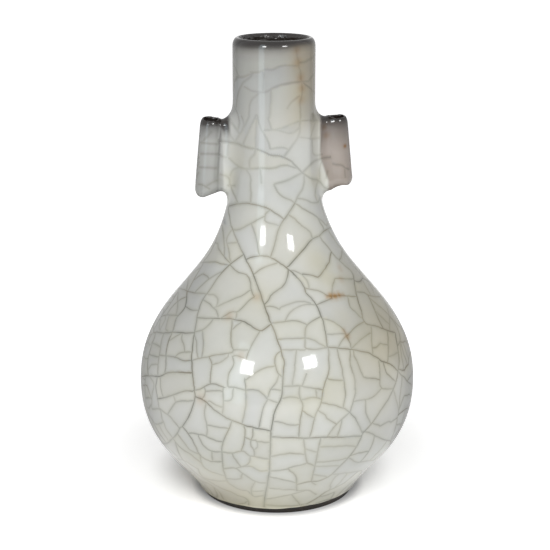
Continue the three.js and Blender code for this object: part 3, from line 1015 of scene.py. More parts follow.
def even_path(points):
    """The points again at even steps, laid back on the skin."""
    path = [points[0]]
    for target in points[1:]:
        while (target - path[-1]).length > CRACK_STEP:
            way = (target - path[-1]).normalized()
            found = skin.find_nearest(path[-1] + way * CRACK_STEP)[0]
            if (found - path[-1]).length < CRACK_STEP * PATH_STALL:
                break
            path.append(found)
    return path


class CrackNet:
    """The cracks so far, with a coarse grid of their points for finding what is near."""

    def __init__(self):
        self.cracks = []
        self.grid = {}

    def cell(self, point):
        return tuple(int(math.floor(part / GRID)) for part in point)

    def mark(self, number, points):
        """Enters a crack's points in the grid."""
        for point in points:
            self.grid.setdefault(self.cell(point), []).append((point, number))

    def add(self, width, path):
        self.mark(len(self.cracks), path)
        self.cracks.append({"width": width, "path": path})

    def nearest(self, point, reach, but=None):
        """The nearest point of another crack within a reach no larger than a grid cell."""
        i, j, k = self.cell(point)
        best, found = reach, None
        for a in (i - 1, i, i + 1):
            for b in (j - 1, j, j + 1):
                for c in (k - 1, k, k + 1):
                    for other, number in self.grid.get((a, b, c), ()):
                        gap = (other - point).length
                        if number != but and gap < best:
                            best, found = gap, other
        return found


def on_lug(point):
    return point.z > NECK_SEAM and abs(point.x + NECK_SHIFT * RIGHT[0]) > LUG_START


def on_lug_front(point):
    """Whether a point is where the photograph shows all of a lug's cracks."""
    return on_lug(point) and point.y < -LUG_FRONT


def carrier_of(point):
    """Which glazed piece a point of a crack lies on."""
    if point.z < NECK_SEAM:
        return "body"
    if on_lug(point):
        return "left_lug" if point.x < 0 else "right_lug"
    return "neck"


def veered(way, normal, turn):
    return way * math.cos(turn) + normal.cross(way) * math.sin(turn)


def grown(net, start, way, limit, but=None):
    """A crack that wanders over the skin until it meets another, or comes to an edge."""
    path = []
    place, normal = skin.find_nearest(start)[:2]
    curl = dice.gauss(0, CURL_START)
    for _ in range(limit):
        way = (way - normal * way.dot(normal)).normalized()
        curl = curl * CURL_KEPT + dice.gauss(0, CURL_CHANGE)
        turn = curl + dice.gauss(0, TURN_SPREAD)
        if dice.random() < KINK_CHANCE:
            turn += dice.choice((-1, 1)) * dice.uniform(*KINK_TURNS)
        way = veered(way, normal, turn)
        found, normal = skin.find_nearest(place + way * CRACK_STEP)[:2]
        stalled = (found - place).length < CRACK_STEP * GROWTH_STALL
        if stalled or on_lug(found) != on_lug(place) or on_lug_front(found):
            break
        path.append(found)
        place = found
        met = net.nearest(found, MEET, but)
        if met:
            path.append(met)
            break
    return path


def in_full_view(point):
    way = (Vector(EYE) - point).normalized()
    return skin.find_nearest(point)[1].dot(way) > FULL_VIEW


def run_on(net, tip, inner, number):
    """How a traced crack goes on to another one, or over an edge that the camera doesn't see past."""
    met = net.nearest(tip, JOIN, number)
    if met is not None:
        return [met]
    if not in_full_view(tip):
        return grown(net, tip, (tip - inner).normalized(), LONGEST_RUN_ON, number)
    more = grown(net, tip, (tip - inner).normalized(), SHORT_RUN_ON, number)
    joined = more and net.nearest(more[-1], MEET, number) is not None
    return more if joined else []


def bend_at(x, y, size, scale, layer):
    return size * noise.noise(Vector((x * scale, y * scale, layer)))


def add_traced(net):
    """Lays the traced routes on the skin, and runs their loose ends on to other cracks."""
    for width, *corners in PHOTO_CRACKS:
        hits = []
        for x, y in smooth_route(corners, PIXEL_STEP):
            bend = bend_at(x, y, *PIXEL_WANDER) + bend_at(x, y, *PIXEL_SHAKE)
            found = seen_at(x + bend, y - bend)
            if found and hits and (found - hits[-1]).length > ROUTE_BREAK:
                break
            if found:
                hits.append(found)
        if len(hits) > 1:
            path = even_path(hits)
            if len(path) > 1:
                net.add(width, path)
    for number, crack in enumerate(net.cracks):
        for end in (0, -1):
            path = crack["path"]
            inwards = path if end == 0 else path[::-1]
            inner = inwards[min(HEADING_POINTS, len(path) - 1)]
            more = run_on(net, inwards[0], inner, number)
            net.mark(number, more)
            crack["path"] = more[::-1] + path if end == 0 else path + more


def sample_points(count):
    """Points spread evenly over the skin."""
    corners = np.array([[face[0], face[1], face[2], face[-1]] for face in skin_faces])
    a, b, c, d = [all_skin[corners[:, i]] for i in range(4)]
    area = np.linalg.norm(np.cross(c - a, d - b), axis=1)
    spread = np.random.default_rng(SAMPLE_SEED)
    chosen = spread.choice(len(corners), count, p=area / area.sum())
    share = spread.random((2, count, 1))
    low = a[chosen] + (b - a)[chosen] * share[0]
    high = d[chosen] + (c - d)[chosen] * share[0]
    return low + (high - low) * share[1]


def nearest_gaps(samples, gaps, path):
    """Brings each sample's distance to the nearest crack up to date with a new crack."""
    path = array_of([*path[::2], path[-1]])
    reach = min(gaps.max(), GAP_REACH) + 1
    close = np.all((samples > path.min(0) - reach) & (samples < path.max(0) + reach), axis=1)
    near = samples[close]
    best = np.full(len(near), np.inf)
    for start in range(0, len(path), PATH_BLOCK):
        block = path[start:start + PATH_BLOCK]
        best = np.minimum(best, np.linalg.norm(near[:, None] - block[None], axis=2).min(1))
    gaps[close] = np.minimum(gaps[close], best)


def cell_size(samples):
    """Half the width that a glaze cell may keep at each sample."""
    rough = np.array([noise.noise(Vector(point * CELL_NOISE_SCALE)) for point in samples])
    size = CELL_HALF + CELL_SPREAD * rough
    to_eye = EYE - samples
    to_eye /= np.linalg.norm(to_eye, axis=1)[:, None]
    out = samples * (1, 1, 0)
    out /= np.linalg.norm(out, axis=1)[:, None]
    front = smooth_step(FULL_VIEW, FRONT_FULL, (out * to_eye).sum(1))
    low = 1 - smooth_step(*LOW_CELLS, samples[:, 2])
    shoulder = smooth_step(*SHOULDER_CELLS, samples[:, 2])
    near_lip = smooth_step(*LIP_CELLS, samples[:, 2])
    lug = np.array([on_lug(Vector(point)) for point in samples])
    larger = FRONT_LARGER + SHOULDER_LARGER * shoulder + LIP_LARGER * near_lip + LUG_LARGER * lug
    return size - LOW_SMALLER * low + larger * front


def add_grown(net):
    """Splits the largest cells across, again and again, as a cooling glaze does."""
    samples = sample_points(SAMPLE_COUNT)
    gaps = np.full(len(samples), FAR_FROM_CRACKS)
    for crack in net.cracks:
        nearest_gaps(samples, gaps, crack["path"])
    size = cell_size(samples)
    known = array_of([point for crack in net.cracks for point in crack["path"]])
    for _ in range(MOST_GROWN):
        worst = int(np.argmax(gaps / size))
        gap = gaps[worst]
        if gap < size[worst]:
            break
        seed = Vector(samples[worst])
        target = known[np.argmin(((known - samples[worst]) ** 2).sum(1))]
        way = (Vector(target) - seed).normalized()
        normal = skin.find_nearest(seed)[1]
        way = veered(way, normal, dice.gauss(0, FIRST_TURN))
        first = grown(net, seed, way, LONGEST_GROWTH)
        second = grown(net, seed, -way, LONGEST_GROWTH)
        path = first[::-1] + [seed] + second
        if len(path) < 3:
            gaps[worst] = 0
            continue
        width = WIDE if gap > WIDE_FROM else MIDDLE if gap > MIDDLE_FROM else FINE
        net.add(width, path)
        known = np.vstack([known, array_of(path)])
        nearest_gaps(samples, gaps, path)


def crack_strips(net, carrier):
    """Points, faces and stain of a narrow closed strip along each crack on one piece."""
    strip = {"points": [], "faces": [], "stain": []}
    tight = carrier.endswith("lug")
    for crack in net.cracks:
        path = finer(crack["path"]) if tight else crack["path"]
        on_it = [carrier_of(point) == carrier for point in path]
        start = 0
        while start < len(path) - 1:
            if not on_it[start]:
                start += 1
                continue
            end = start
            while end < len(path) - 1 and on_it[end]:
                end += 1
            add_strip(strip, path[start:end + 1], crack["width"], LUG_PROUD if tight else PROUD)
            start = end if end > start else start + 1
    return strip


def finer(path):
    """A path with a point more on the skin between each two, for a tight curve under it."""
    points = [path[0]]
    for before, after in zip(path, path[1:]):
        points.append(skin.find_nearest((before + after) / 2)[0])
        points.append(after)
    return points


def add_strip(strip, path, width, height):
    """A strip that is stained along its middle and has the glaze's own colour at its edges."""
    clean = [path[0]]
    for point in path[1:]:
        if (point - clean[-1]).length > SHORTEST_STEP:
            clean.append(point)
    last = len(clean) - 1
    if last < 1:
        return
    points, faces = strip["points"], strip["faces"]
    first = len(points)
    for i, point in enumerate(clean):
        normal = skin.find_nearest(point)[1]
        along = (clean[min(i + 1, last)] - clean[max(i - 1, 0)]).normalized()
        across = along.cross(normal).normalized()
        soft = smooth_step(*SOFT_ZONE, point.z)
        uneven = 1 + WIDTH_CHANGE * noise.noise(point * WIDTH_NOISE_SCALE)
        core = width / 2 * uneven * (1 - SOFT_NARROWER * soft)
        if i in (0, last):
            core *= TIP_SHARE
        edge = core + HALO_LEAST + HALO_SHARE * width
        seep = core + SEEP_REACH
        depth = CORE_STAINS[width]
        low = 1 - smooth_step(*LOW_ZONE, point.z)
        core_stain = depth * (1 - SOFT_FAINTER * soft - LOW_FAINTER * low)
        seep_stain = depth * SEEP_SHARE * (1 + SOFT_SEEP * soft)
        half = ((edge, FLUSH, 0), (seep, (FLUSH + height) / 2, seep_stain), (core, height, core_stain))
        mirrored = [(-offset, proud, stain) for offset, proud, stain in reversed(half)]
        for offset, proud, stain in (*half, *mirrored):
            place, facing = skin.find_nearest(point + across * offset)[:2]
            points.append(place + facing * proud)
            strip["stain"].append(stain)
        points.append(point - normal * DEPTH)
        strip["stain"].append(core_stain)
    for i in range(last):
        here = first + RAILS * i
        for rail in range(RAILS):
            after = (rail + 1) % RAILS
            faces.append((here + rail, here + RAILS + rail, here + RAILS + after, here + after))
    faces.append([first + rail for rail in range(RAILS)])
    faces.append([first + RAILS * last + rail for rail in reversed(range(RAILS))])


def tree_of(points):
    """A tree for finding which of some points is nearest."""
    tree = KDTree(len(points))
    for i, point in enumerate(points):
        tree.insert(Vector(point), i)
    tree.balance()
    return tree


def cell_numbers():
    """For each point of the skin, the number of the glaze cell that it lies in, or -1 off the skin."""
    merged, same = np.unique(all_skin.round(3), axis=0, return_inverse=True)
    same = same.ravel()
    neighbours = {}
    for face in skin_faces:
        corners = [int(same[corner]) for corner in face]
        for a, b in zip(corners, corners[1:] + corners[:1]):
            neighbours.setdefault(a, set()).add(b)
            neighbours.setdefault(b, set()).add(a)
    inner = {i for i in neighbours if crack_tree.find(Vector(merged[i]))[2] > CELL_BARRIER}
    number = np.full(len(merged), -1)
    count = 0
    for seed in sorted(inner):
        if number[seed] >= 0:
            continue
        number[seed] = count
        front = [seed]
        while front:
            for other in neighbours[front.pop()]:
                if other in inner and number[other] < 0:
                    number[other] = count
                    front.append(other)
        count += 1
    inner = sorted(inner)
    cell_tree = tree_of(merged[inner])
    for i in sorted(set(neighbours) - set(inner)):
        number[i] = number[inner[cell_tree.find(Vector(merged[i]))[1]]]
    return number[same], count


net = CrackNet()
add_traced(net)
add_grown(net)
crack_points = array_of([point for crack in net.cracks for point in crack["path"]])
crack_tree = tree_of(crack_points)
cell_of, cell_count = cell_numbers()


# Materials

def paint(red, green, blue):
    """A colour as a screen shows it, turned into the light that a shader works with."""
    parts = [value / 255 for value in (red, green, blue)]
    linear = [v / 12.92 if v <= 0.04045 else ((v + 0.055) / 1.055) ** 2.4 for v in parts]
    return (*linear, 1)


def set_inputs(tree, node, inputs):
    """Sets a node's inputs, each to a value or to what another node gives."""
    for name, value in inputs.items():
        if isinstance(value, bpy.types.NodeSocket):
            tree.links.new(value, node.inputs[name])
        else:
            node.inputs[name].default_value = value


def add_node(tree, kind, inputs=None, **settings):
    node = tree.nodes.new(kind)
    for name, value in settings.items():
        setattr(node, name, value)
    set_inputs(tree, node, inputs or {})
    return node


def noise_of(tree, place, scale, detail=3, roughness=0.5):
    inputs = {"Vector": place, "Scale": scale, "Detail": detail, "Roughness": roughness}
    return add_node(tree, "ShaderNodeTexNoise", inputs).outputs["Fac"]


def ramp(tree, value, low, high, start=0.0, end=1.0):
    """Maps a range of a value onto another, with a smooth change."""
    inputs = {"Value": value, "From Min": low, "From Max": high, "To Min": start, "To Max": end}
    node = add_node(tree, "ShaderNodeMapRange", inputs, interpolation_type="SMOOTHSTEP")
    return node.outputs["Result"]


def mixed(tree, share, first, second, blend="MIX"):
    inputs = {0: share, 6: first, 7: second}  # the node's share and its two colours
    return add_node(tree, "ShaderNodeMix", inputs, data_type="RGBA", blend_type=blend).outputs[2]


def combined(tree, operation, first, second):
    node = add_node(tree, "ShaderNodeMath", {0: first, 1: second}, operation=operation)
    return node.outputs[0]


def product(tree, first, second):
    return combined(tree, "MULTIPLY", first, second)


def attribute(tree, name):
    return add_node(tree, "ShaderNodeAttribute", attribute_name=name).outputs["Fac"]


def empty_tree(owner):
    """The nodes of a new material or world, with none in it yet."""
    owner.use_nodes = True
    owner.node_tree.nodes.clear()
    return owner.node_tree


def new_material(name):
    material = bpy.data.materials.new(name)
    tree = empty_tree(material)
    surface = add_node(tree, "ShaderNodeBsdfPrincipled")
    output = add_node(tree, "ShaderNodeOutputMaterial")
    tree.links.new(surface.outputs["BSDF"], output.inputs["Surface"])
    place = add_node(tree, "ShaderNodeTexCoord").outputs["Object"]
    return material, tree, surface, place


# What colours the glaze. Each tint multiplies its colour, by a share that the mesh keeps.
TINTS = {
    "cell_grey": (0.92, 0.925, 0.945),
    "cell_straw": (1.0, 0.985, 0.93),
    "cell_edge": (0.87, 0.86, 0.8),
    # painted light: lightens the glaze above the foot and beside the right lug
    "painted_light": (1.2, 1.2, 1.18),
    # thin glaze, and painted shade at the neck's sides and on the flanks
    "thin": (0.5, 0.5, 0.51),
    "straw": (0.95, 0.91, 0.77),
    "brown": (0.97, 0.86, 0.68),
    "mauve": (0.53, 0.455, 0.425),
    "rust": (0.72, 0.42, 0.16),
    # the clay's iron, and painted shade deep in the throat and the bores
    "iron": (0.04, 0.03, 0.026),
}


# Screen colours of the glaze and the clay, and what a stained crack multiplies the glaze by
GLAZE_MAIN = (212, 213, 208)
GLAZE_CLOUD = (207, 209, 205)
GLAZE_MOTTLE = (217, 218, 213)
MOTTLE_SHARE = 0.35
GREY_STAIN = (0.19, 0.195, 0.175, 1)
BROWN_STAIN = (0.3, 0.245, 0.15, 1)
CLAY_MAIN = (27, 24, 20)
CLAY_PATCH = (46, 40, 33)
CLAY_GRAIN = (70, 61, 50)

GLAZE_ROUGHNESS = {"start": 0.05, "end": 0.09}
GLAZE_COAT = {"Coat Weight": 0.12, "Coat Roughness": 0.28}
DIMPLES = {"Strength": 0.028, "Distance": 0.0006}
BLISTER_STRENGTH = 0.9
BLISTER_DISTANCE = 0.0008
CLAY_ROUGHNESS = {"start": 0.62, "end": 0.85}
CLAY_BUMPS = {"Strength": 0.5, "Distance": 0.0003}


def bumped(tree, height, **inputs):
    """The normal of a surface with bumps of a noise's height."""
    return add_node(tree, "ShaderNodeBump", {"Height": height, **inputs}).outputs["Normal"]


def glaze_material():
    """A pale, clouded and tinted glaze, with stained cracks."""
    material, tree, surface, place = new_material("crackled_glaze")
    cloud = ramp(tree, noise_of(tree, place, scale=22, roughness=0.55), low=0.35, high=0.65)
    mottle = ramp(tree, noise_of(tree, place, scale=160, detail=4, roughness=0.6), low=0.3, high=0.7)
    colour = mixed(tree, cloud, paint(*GLAZE_MAIN), paint(*GLAZE_CLOUD))
    colour = mixed(tree, product(tree, mottle, MOTTLE_SHARE), colour, paint(*GLAZE_MOTTLE))
    for name, tint in TINTS.items():
        colour = mixed(tree, attribute(tree, name), colour, (*tint, 1), "MULTIPLY")
    change = ramp(tree, noise_of(tree, place, scale=45, roughness=0.6), low=0.4, high=0.62)
    stain_colour = mixed(tree, change, GREY_STAIN, BROWN_STAIN)
    strength = ramp(tree, noise_of(tree, place, scale=60, detail=2), low=0.35, high=0.65, start=0.55)
    share = product(tree, attribute(tree, "stain"), strength)
    colour = mixed(tree, share, colour, stain_colour, "MULTIPLY")
    gloss = ramp(tree, noise_of(tree, place, scale=90), low=0.3, high=0.7, **GLAZE_ROUGHNESS)
    dimple = noise_of(tree, place, scale=260, detail=2, roughness=0.4)
    dimpled = bumped(tree, dimple, **DIMPLES)
    blister = noise_of(tree, place, scale=430, detail=2)
    blistered = product(tree, attribute(tree, "blister"), BLISTER_STRENGTH)
    bumps = bumped(tree, blister, Strength=blistered, Distance=BLISTER_DISTANCE, Normal=dimpled)
    set_inputs(tree, surface, {"Base Color": colour, "Roughness": gloss, "Normal": bumps})
    set_inputs(tree, surface, GLAZE_COAT)
    return material


def clay_material():
    """A dark clay with paler patches and a coarse, paler grain."""
    material, tree, surface, place = new_material("bare_iron_clay")
    patch = ramp(tree, noise_of(tree, place, scale=120, detail=4, roughness=0.6), low=0.35, high=0.7)
    grain = noise_of(tree, place, scale=900, roughness=0.7)
    colour = mixed(tree, patch, paint(*CLAY_MAIN), paint(*CLAY_PATCH))
    grains = ramp(tree, grain, low=0.55, high=0.75, end=0.6)
    colour = mixed(tree, grains, colour, paint(*CLAY_GRAIN))
    roughness = ramp(tree, grain, low=0.3, high=0.7, **CLAY_ROUGHNESS)
    bumps = bumped(tree, grain, **CLAY_BUMPS)
    set_inputs(tree, surface, {"Base Color": colour, "Roughness": roughness, "Normal": bumps})
    return material


EDGE_REACH = 1.5  # how far the glaze stays duller beside a crack

# Stains that the photograph shows: pixel across, pixel down, reach in millimetres, strength
PHOTO_STAINS = {
    "rust": (
        (327, 297, 1.2, 0.5), (331, 296, 1.7, 0.8), (335, 296, 1.7, 0.8), (339, 295, 1.6, 0.7),
        (343, 295, 1.3, 0.4), (341, 279, 2.0, 0.2), (340, 268, 2.0, 0.2),
        (347, 336, 1.8, 0.45), (344, 331, 1.5, 0.3), (345, 146, 1.0, 0.8), (324, 127, 1.6, 0.5),
        (257, 297, 2.2, 0.25), (229, 316, 2.4, 0.25), (241, 355, 2.4, 0.22), (201, 399, 3.0, 0.2),
        (301, 78, 2.4, 0.36), (302, 88, 2.4, 0.32), (326, 135, 2.0, 0.35), (298, 62, 2.6, 0.32),
        (297, 50, 2.4, 0.3), (301, 100, 2.4, 0.22),
    ),
    "straw": (
        (318, 262, 9.0, 0.9), (328, 278, 7.0, 0.8), (344, 318, 8.0, 0.5), (300, 70, 5.0, 0.6),
        (303, 95, 5.0, 0.6), (300, 118, 6.0, 0.4), (319, 178, 5.0, 0.4), (312, 182, 5.0, 0.4),
        (232, 178, 5.0, 0.5), (240, 160, 6.0, 0.3), (218, 496, 9.0, 0.8), (214, 470, 12.0, 0.4),
        (262, 300, 9.0, 0.35), (325, 390, 10.0, 0.35), (360, 345, 8.0, 0.35), (300, 400, 9.0, 0.3),
        (372, 318, 14.0, 0.7), (388, 345, 13.0, 0.6), (352, 288, 12.0, 0.6), (385, 400, 14.0, 0.4),
    ),
}

# Stains on the cracks at the back: how many, least and most reach, greatest strength
BACK_STAINS = {"rust": (14, 1.5, 3.5, 0.45), "straw": (16, 6.0, 12.0, 0.6)}
BEHIND = 5.0
WEAKEST_AT_BACK = 0.4  # as a share of the strongest

# How far the iron shows through against height, from where it starts to the edge that it darkens
LIP_IRON = ((212, 220, 224, 226, 227.3, 228.3, 229.2), (0, 0.07, 0.2, 0.44, 0.82, 0.97, 1))
LEFT_RIM_IRON = ((181, 184.5, 187.6, 189, 190.6), (0, 0.26, 0.6, 0.95, 1))
RIGHT_RIM_IRON = ((174, 178, 181.5, 185, 188, 190), (0, 0.15, 0.32, 0.5, 0.75, 1))

# Zones of the glaze, each as where it starts and where it is full
INSIDE_MARGIN = 1.2
LUG_ZONE = (NECK_RADIUS + 1.2, NECK_RADIUS + 3.2)
LUG_BOTTOM = 140
TUBE_INSET = 6.2  # the left tube's zone starts this far within its axis
RIGHT_TUBE_START = ((160, 172), (25.4, 21.2))  # and the right one's there, against height
TUBE_ZONE = 1.6
WEB_ZONE = (3, 6)
THROAT_ZONE = (196, 226)
RIM_ZONE_BOTTOM = 188
WEB_IRON_LIFT = 2.5  # on the web the iron starts this much lower
BORE_MARGIN = 0.6
BORE_BOTTOM = 150
BORE_START = NECK_RADIUS + 2
GROOVE_PLACE = -4.7
GROOVE_HALF = 0.6
GROOVE_SHARES = (0.7, 0.1)  # on the left and on the right lug
GROOVE_FADE = ((160, 172, 184), (0.2, 0.6, 1))
LIP_WAVE_TOP = 229
CALM_ZONE = (145, 185)  # the cells' edges fade in the neck
CALM_SHARE = 0.65
NECK_ZONE = (135, 150)

# Painted light: the glaze is lightened in a band above the foot and in a patch beside the right lug
LOW_LIGHT_HEIGHT = 28
LOW_LIGHT_HALF = 13
LOW_LIGHT_SHARE = 0.6
LUG_LIGHT_RIGHT = (11, 17)
LUG_LIGHT_BOTTOM = (148, 160)
LUG_LIGHT_TOP = (182, 192)
LUG_LIGHT_SHARE = 0.5
# Painted light too: less of the thin glaze's darkening on the neck's right, below the lugs' tops
SHADE_LIFT_RIGHT = (5, 13)
SHADE_LIFT_TOP = (180, 198)
SHADE_LIFT_SHARE = 0.8

# Thin glaze up the neck and on the left tube; painted shade at the neck's sides and on the flanks; and
# darker at the foot's left
THIN_UP_NECK = ((110, 138, 165, 190, 215), (0, 0.07, 0.24, 0.47, 0.76))
NECK_SHADE_SIDE = (12.5, 17)
NECK_SHADE_BOTTOM = (188, 198)
NECK_SHADE_SHARE = 0.13
LEFT_TUBE_SHARE = 0.85
FLANK_SHADE_SIDE = (25, 45)
FLANK_SHADE_BOTTOM = (75, 100)
FLANK_SHADE_TOP = 145
FLANK_SHADE_SHARE = 0.23
FOOT_LEFT = (8, 28)
FOOT_LEFT_TOP = (10, 28)
FOOT_LEFT_SHARE = 0.36

# Warm glaze, on the right of the body and the neck, and low down
NECK_BROWN_RIGHT = (0, 17)
NECK_BROWN_BOTTOM = (178, 212)
WARM_RIGHT = (20, 60)
WARM_BOTTOM = (60, 90)
WARM_TOP = 150
WARM_BROWN = 0.4
WARM_STRAW = 0.85
LOW_STRAW_TOP = (5, 32)
LOW_STRAW = 0.7
LOW_STRAW_FALL = 0.3  # how much less of it there is at the right
RUST_SHARE = 1.4
LIP_MAUVE = 0.5
# Iron near the rims, and painted shade deeper in the throat and the bores
THROAT_IRON_AND_SHADE = 0.96
BORE_IRON_AND_SHADE = 0.97
BORE_BLISTERS = 0.45
RIM_BLISTERS = 0.22

CELL_SEED = 3
CELL_POWER = 1.5  # leaves most cells nearly untinted
cell_dice = np.random.default_rng(CELL_SEED)
CELL_SHARES = {
    name: cell_dice.random(cell_count + 1) ** CELL_POWER for name in ("cell_grey", "cell_straw")
}


def stain_places():
    """Each kind's stains as centre, reach and strength: the ones seen, and others behind."""
    behind = crack_points[crack_points @ AHEAD > BEHIND]
    kinds = {}
    for kind, places in PHOTO_STAINS.items():
        kinds[kind] = [(np.array(seen_at(x, y)), reach, strength) for x, y, reach, strength in places]
        count, least, most, strongest = BACK_STAINS[kind]
        for centre in cell_dice.choice(behind, count):
            reach = cell_dice.uniform(least, most)
            kinds[kind].append((centre, reach, strongest * cell_dice.uniform(WEAKEST_AT_BACK, 1)))
    return kinds


STAINS = stain_places()


def stain_share(points, kind):
    share = np.zeros(len(points))
    for centre, reach, strength in STAINS[kind]:
        away = np.linalg.norm(points - centre, axis=1) / reach
        share = np.maximum(share, strength * np.exp(-away * away))
    return share


def lip_wave(upright, right):
    """How unevenly the iron starts round the lip, in millimetres of height."""
    turn = np.arctan2(upright[:, 1], upright[:, 0])
    return 0.2 * np.sin(3 * turn + 0.5) + 0.15 * np.sin(7 * turn) - 0.8 * right / NECK_RADIUS


def tint_shares(points, cells):
    """How much of each tint the glaze has at each point."""
    height = points[:, 2]
    moved = smooth_step(NECK_SHIFT_START, NECK_SHIFT_END, height)
    upright = points + RIGHT * NECK_SHIFT * moved[:, None]
    radius = np.hypot(upright[:, 0], upright[:, 1])
    right = upright @ RIGHT
    aside = np.abs(right)
    reach = np.abs(upright[:, 0])
    inside = radius < inner_radius(height) + INSIDE_MARGIN
    at_left = right < 0
    at_right = right > 0

    # The lugs, with their tubes, webs, rims, bores and the grooves beside their tubes
    left, right_hand = LUG_SIDES["left_lug"], LUG_SIDES["right_lug"]
    axis = np.where(at_left, left["reach"], right_hand["reach"])
    top = np.where(at_left, left["top"], right_hand["top"])
    across = (reach - axis) * math.cos(LUG_LEAN) + (height - top) * math.sin(LUG_LEAN)
    on_lug = smooth_step(*LUG_ZONE, reach) * (height > LUG_BOTTOM)
    tube_start = np.where(at_left, axis - TUBE_INSET, np.interp(height, *RIGHT_TUBE_START))
    on_tube = smooth_step(0, TUBE_ZONE, reach - tube_start) * (height > LUG_BOTTOM)
    on_web = smooth_step(*WEB_ZONE, axis - reach)
    left_rim = on_lug * at_left * np.interp(height + WEB_IRON_LIFT * on_web, *LEFT_RIM_IRON)
    in_rim = height > RIM_ZONE_BOTTOM
    right_rim = (on_lug * in_rim + on_tube * ~in_rim) * at_right
    right_rim *= np.interp(height, *RIGHT_RIM_IRON)
    # Inside the bores the glaze is darkened: iron at the rim, painted shade deeper in
    in_bore = np.hypot(across, upright[:, 1]) < LUG_BORE + BORE_MARGIN
    bore = in_bore * (height > BORE_BOTTOM) * (reach > BORE_START)
    # A dark line along the groove beside each tube
    groove = np.exp(-((across - GROOVE_PLACE) / GROOVE_HALF) ** 2) * on_lug
    groove *= np.where(at_left, *GROOVE_SHARES) * np.interp(height, *GROOVE_FADE)

    # The lip, and the throat below it on the inside
    wave = lip_wave(upright, right)
    lip = np.interp(height + wave * (height < LIP_WAVE_TOP), *LIP_IRON)
    # The throat is darker inside: the clay's iron near the rim, and painted shade deeper down
    throat = np.where(inside, smooth_step(*THROAT_ZONE, height), 0)

    # The glaze cells, and their duller edges along the cracks
    shares = {name: CELL_SHARES[name][cells] * (1 - on_lug) for name in CELL_SHARES}
    from_crack = np.array([crack_tree.find(Vector(point))[2] for point in points])
    calm = smooth_step(*CALM_ZONE, height)
    shares["cell_edge"] = np.exp(-from_crack / EDGE_REACH) * (1 - CALM_SHARE * calm)

    # Painted light, lightening a band above the foot and a patch beside the right lug
    painted_light = LOW_LIGHT_SHARE * np.exp(-((height - LOW_LIGHT_HEIGHT) / LOW_LIGHT_HALF) ** 2)
    patch = smooth_step(*LUG_LIGHT_RIGHT, right) * smooth_step(*LUG_LIGHT_BOTTOM, height)
    patch *= (1 - smooth_step(*LUG_LIGHT_TOP, height)) * (1 - on_tube)
    shares["painted_light"] = painted_light + LUG_LIGHT_SHARE * patch

    # Thin glaze, with painted shade at the neck's sides and on the flanks
    # Painted light: the thin glaze's darkening is lifted on the neck's right, below the lugs' tops
    shade_lift = SHADE_LIFT_SHARE * smooth_step(*SHADE_LIFT_RIGHT, right) * (1 - smooth_step(*SHADE_LIFT_TOP, height))
    up_neck = np.interp(height, *THIN_UP_NECK) * (1 - shade_lift)
    # Painted shade: darker at the neck's left and right sides, as the camera sees them
    neck_shade = smooth_step(*NECK_SHADE_SIDE, aside) * smooth_step(*NECK_SHADE_BOTTOM, height)
    thin = np.minimum(1, up_neck + NECK_SHADE_SHARE * neck_shade)
    # Painted shade: darker at the body's left and right flanks
    flank = smooth_step(*FLANK_SHADE_SIDE, aside) * smooth_step(*FLANK_SHADE_BOTTOM, height) * (height < FLANK_SHADE_TOP)
    # Darker and browner low on the foot's left
    foot_left = smooth_step(*FOOT_LEFT, -right) * (1 - smooth_step(*FOOT_LEFT_TOP, height))
    least = [LEFT_TUBE_SHARE * on_tube * at_left, FLANK_SHADE_SHARE * flank, FOOT_LEFT_SHARE * foot_left]
    shares["thin"] = np.maximum.reduce([thin, *least])

    # Warm glaze
    neck = smooth_step(*NECK_ZONE, height) * (1 - on_tube)
    neck *= smooth_step(*NECK_BROWN_RIGHT, right) * smooth_step(*NECK_BROWN_BOTTOM, height)
    warm = smooth_step(*WARM_RIGHT, right) * smooth_step(*WARM_BOTTOM, height) * (height < WARM_TOP)
    shares["brown"] = np.maximum.reduce([neck, WARM_BROWN * warm, WARM_BROWN * foot_left])
    low = LOW_STRAW - LOW_STRAW_FALL * right / FOOT_RADIUS
    low *= 1 - smooth_step(*LOW_STRAW_TOP, height)
    shares["straw"] = np.maximum.reduce([stain_share(points, "straw"), low, WARM_STRAW * warm])
    shares["rust"] = np.minimum(1, RUST_SHARE * stain_share(points, "rust"))

    # Where the clay's iron shows through, with painted shade deeper in the throat and the bores and a dark
    # line along each lug's groove, and where the glaze has blistered
    shares["mauve"] = np.maximum(on_tube * at_right, LIP_MAUVE * lip)
    dark = [lip, THROAT_IRON_AND_SHADE * throat, left_rim, right_rim, BORE_IRON_AND_SHADE * bore, groove]
    shares["iron"] = np.maximum.reduce(dark)
    shares["blister"] = np.maximum.reduce([throat, BORE_BLISTERS * bore, RIM_BLISTERS * left_rim])
    return shares


def set_values(piece, name, values):
    layer = piece.data.attributes.new(name, "FLOAT", "POINT")
    layer.data.foreach_set("value", values.astype(np.float32))


def set_tints(piece, points, cells):
    for name, share in tint_shares(points, cells).items():
        set_values(piece, name, share)


glaze = glaze_material()
skin_start = 0
for piece in pieces:
    skin_end = skin_start + len(piece.data.vertices)
    piece.data.materials.append(glaze)
    set_tints(piece, all_skin[skin_start:skin_end], cell_of[skin_start:skin_end])
    skin_start = skin_end
foot.data.materials.append(clay_material())

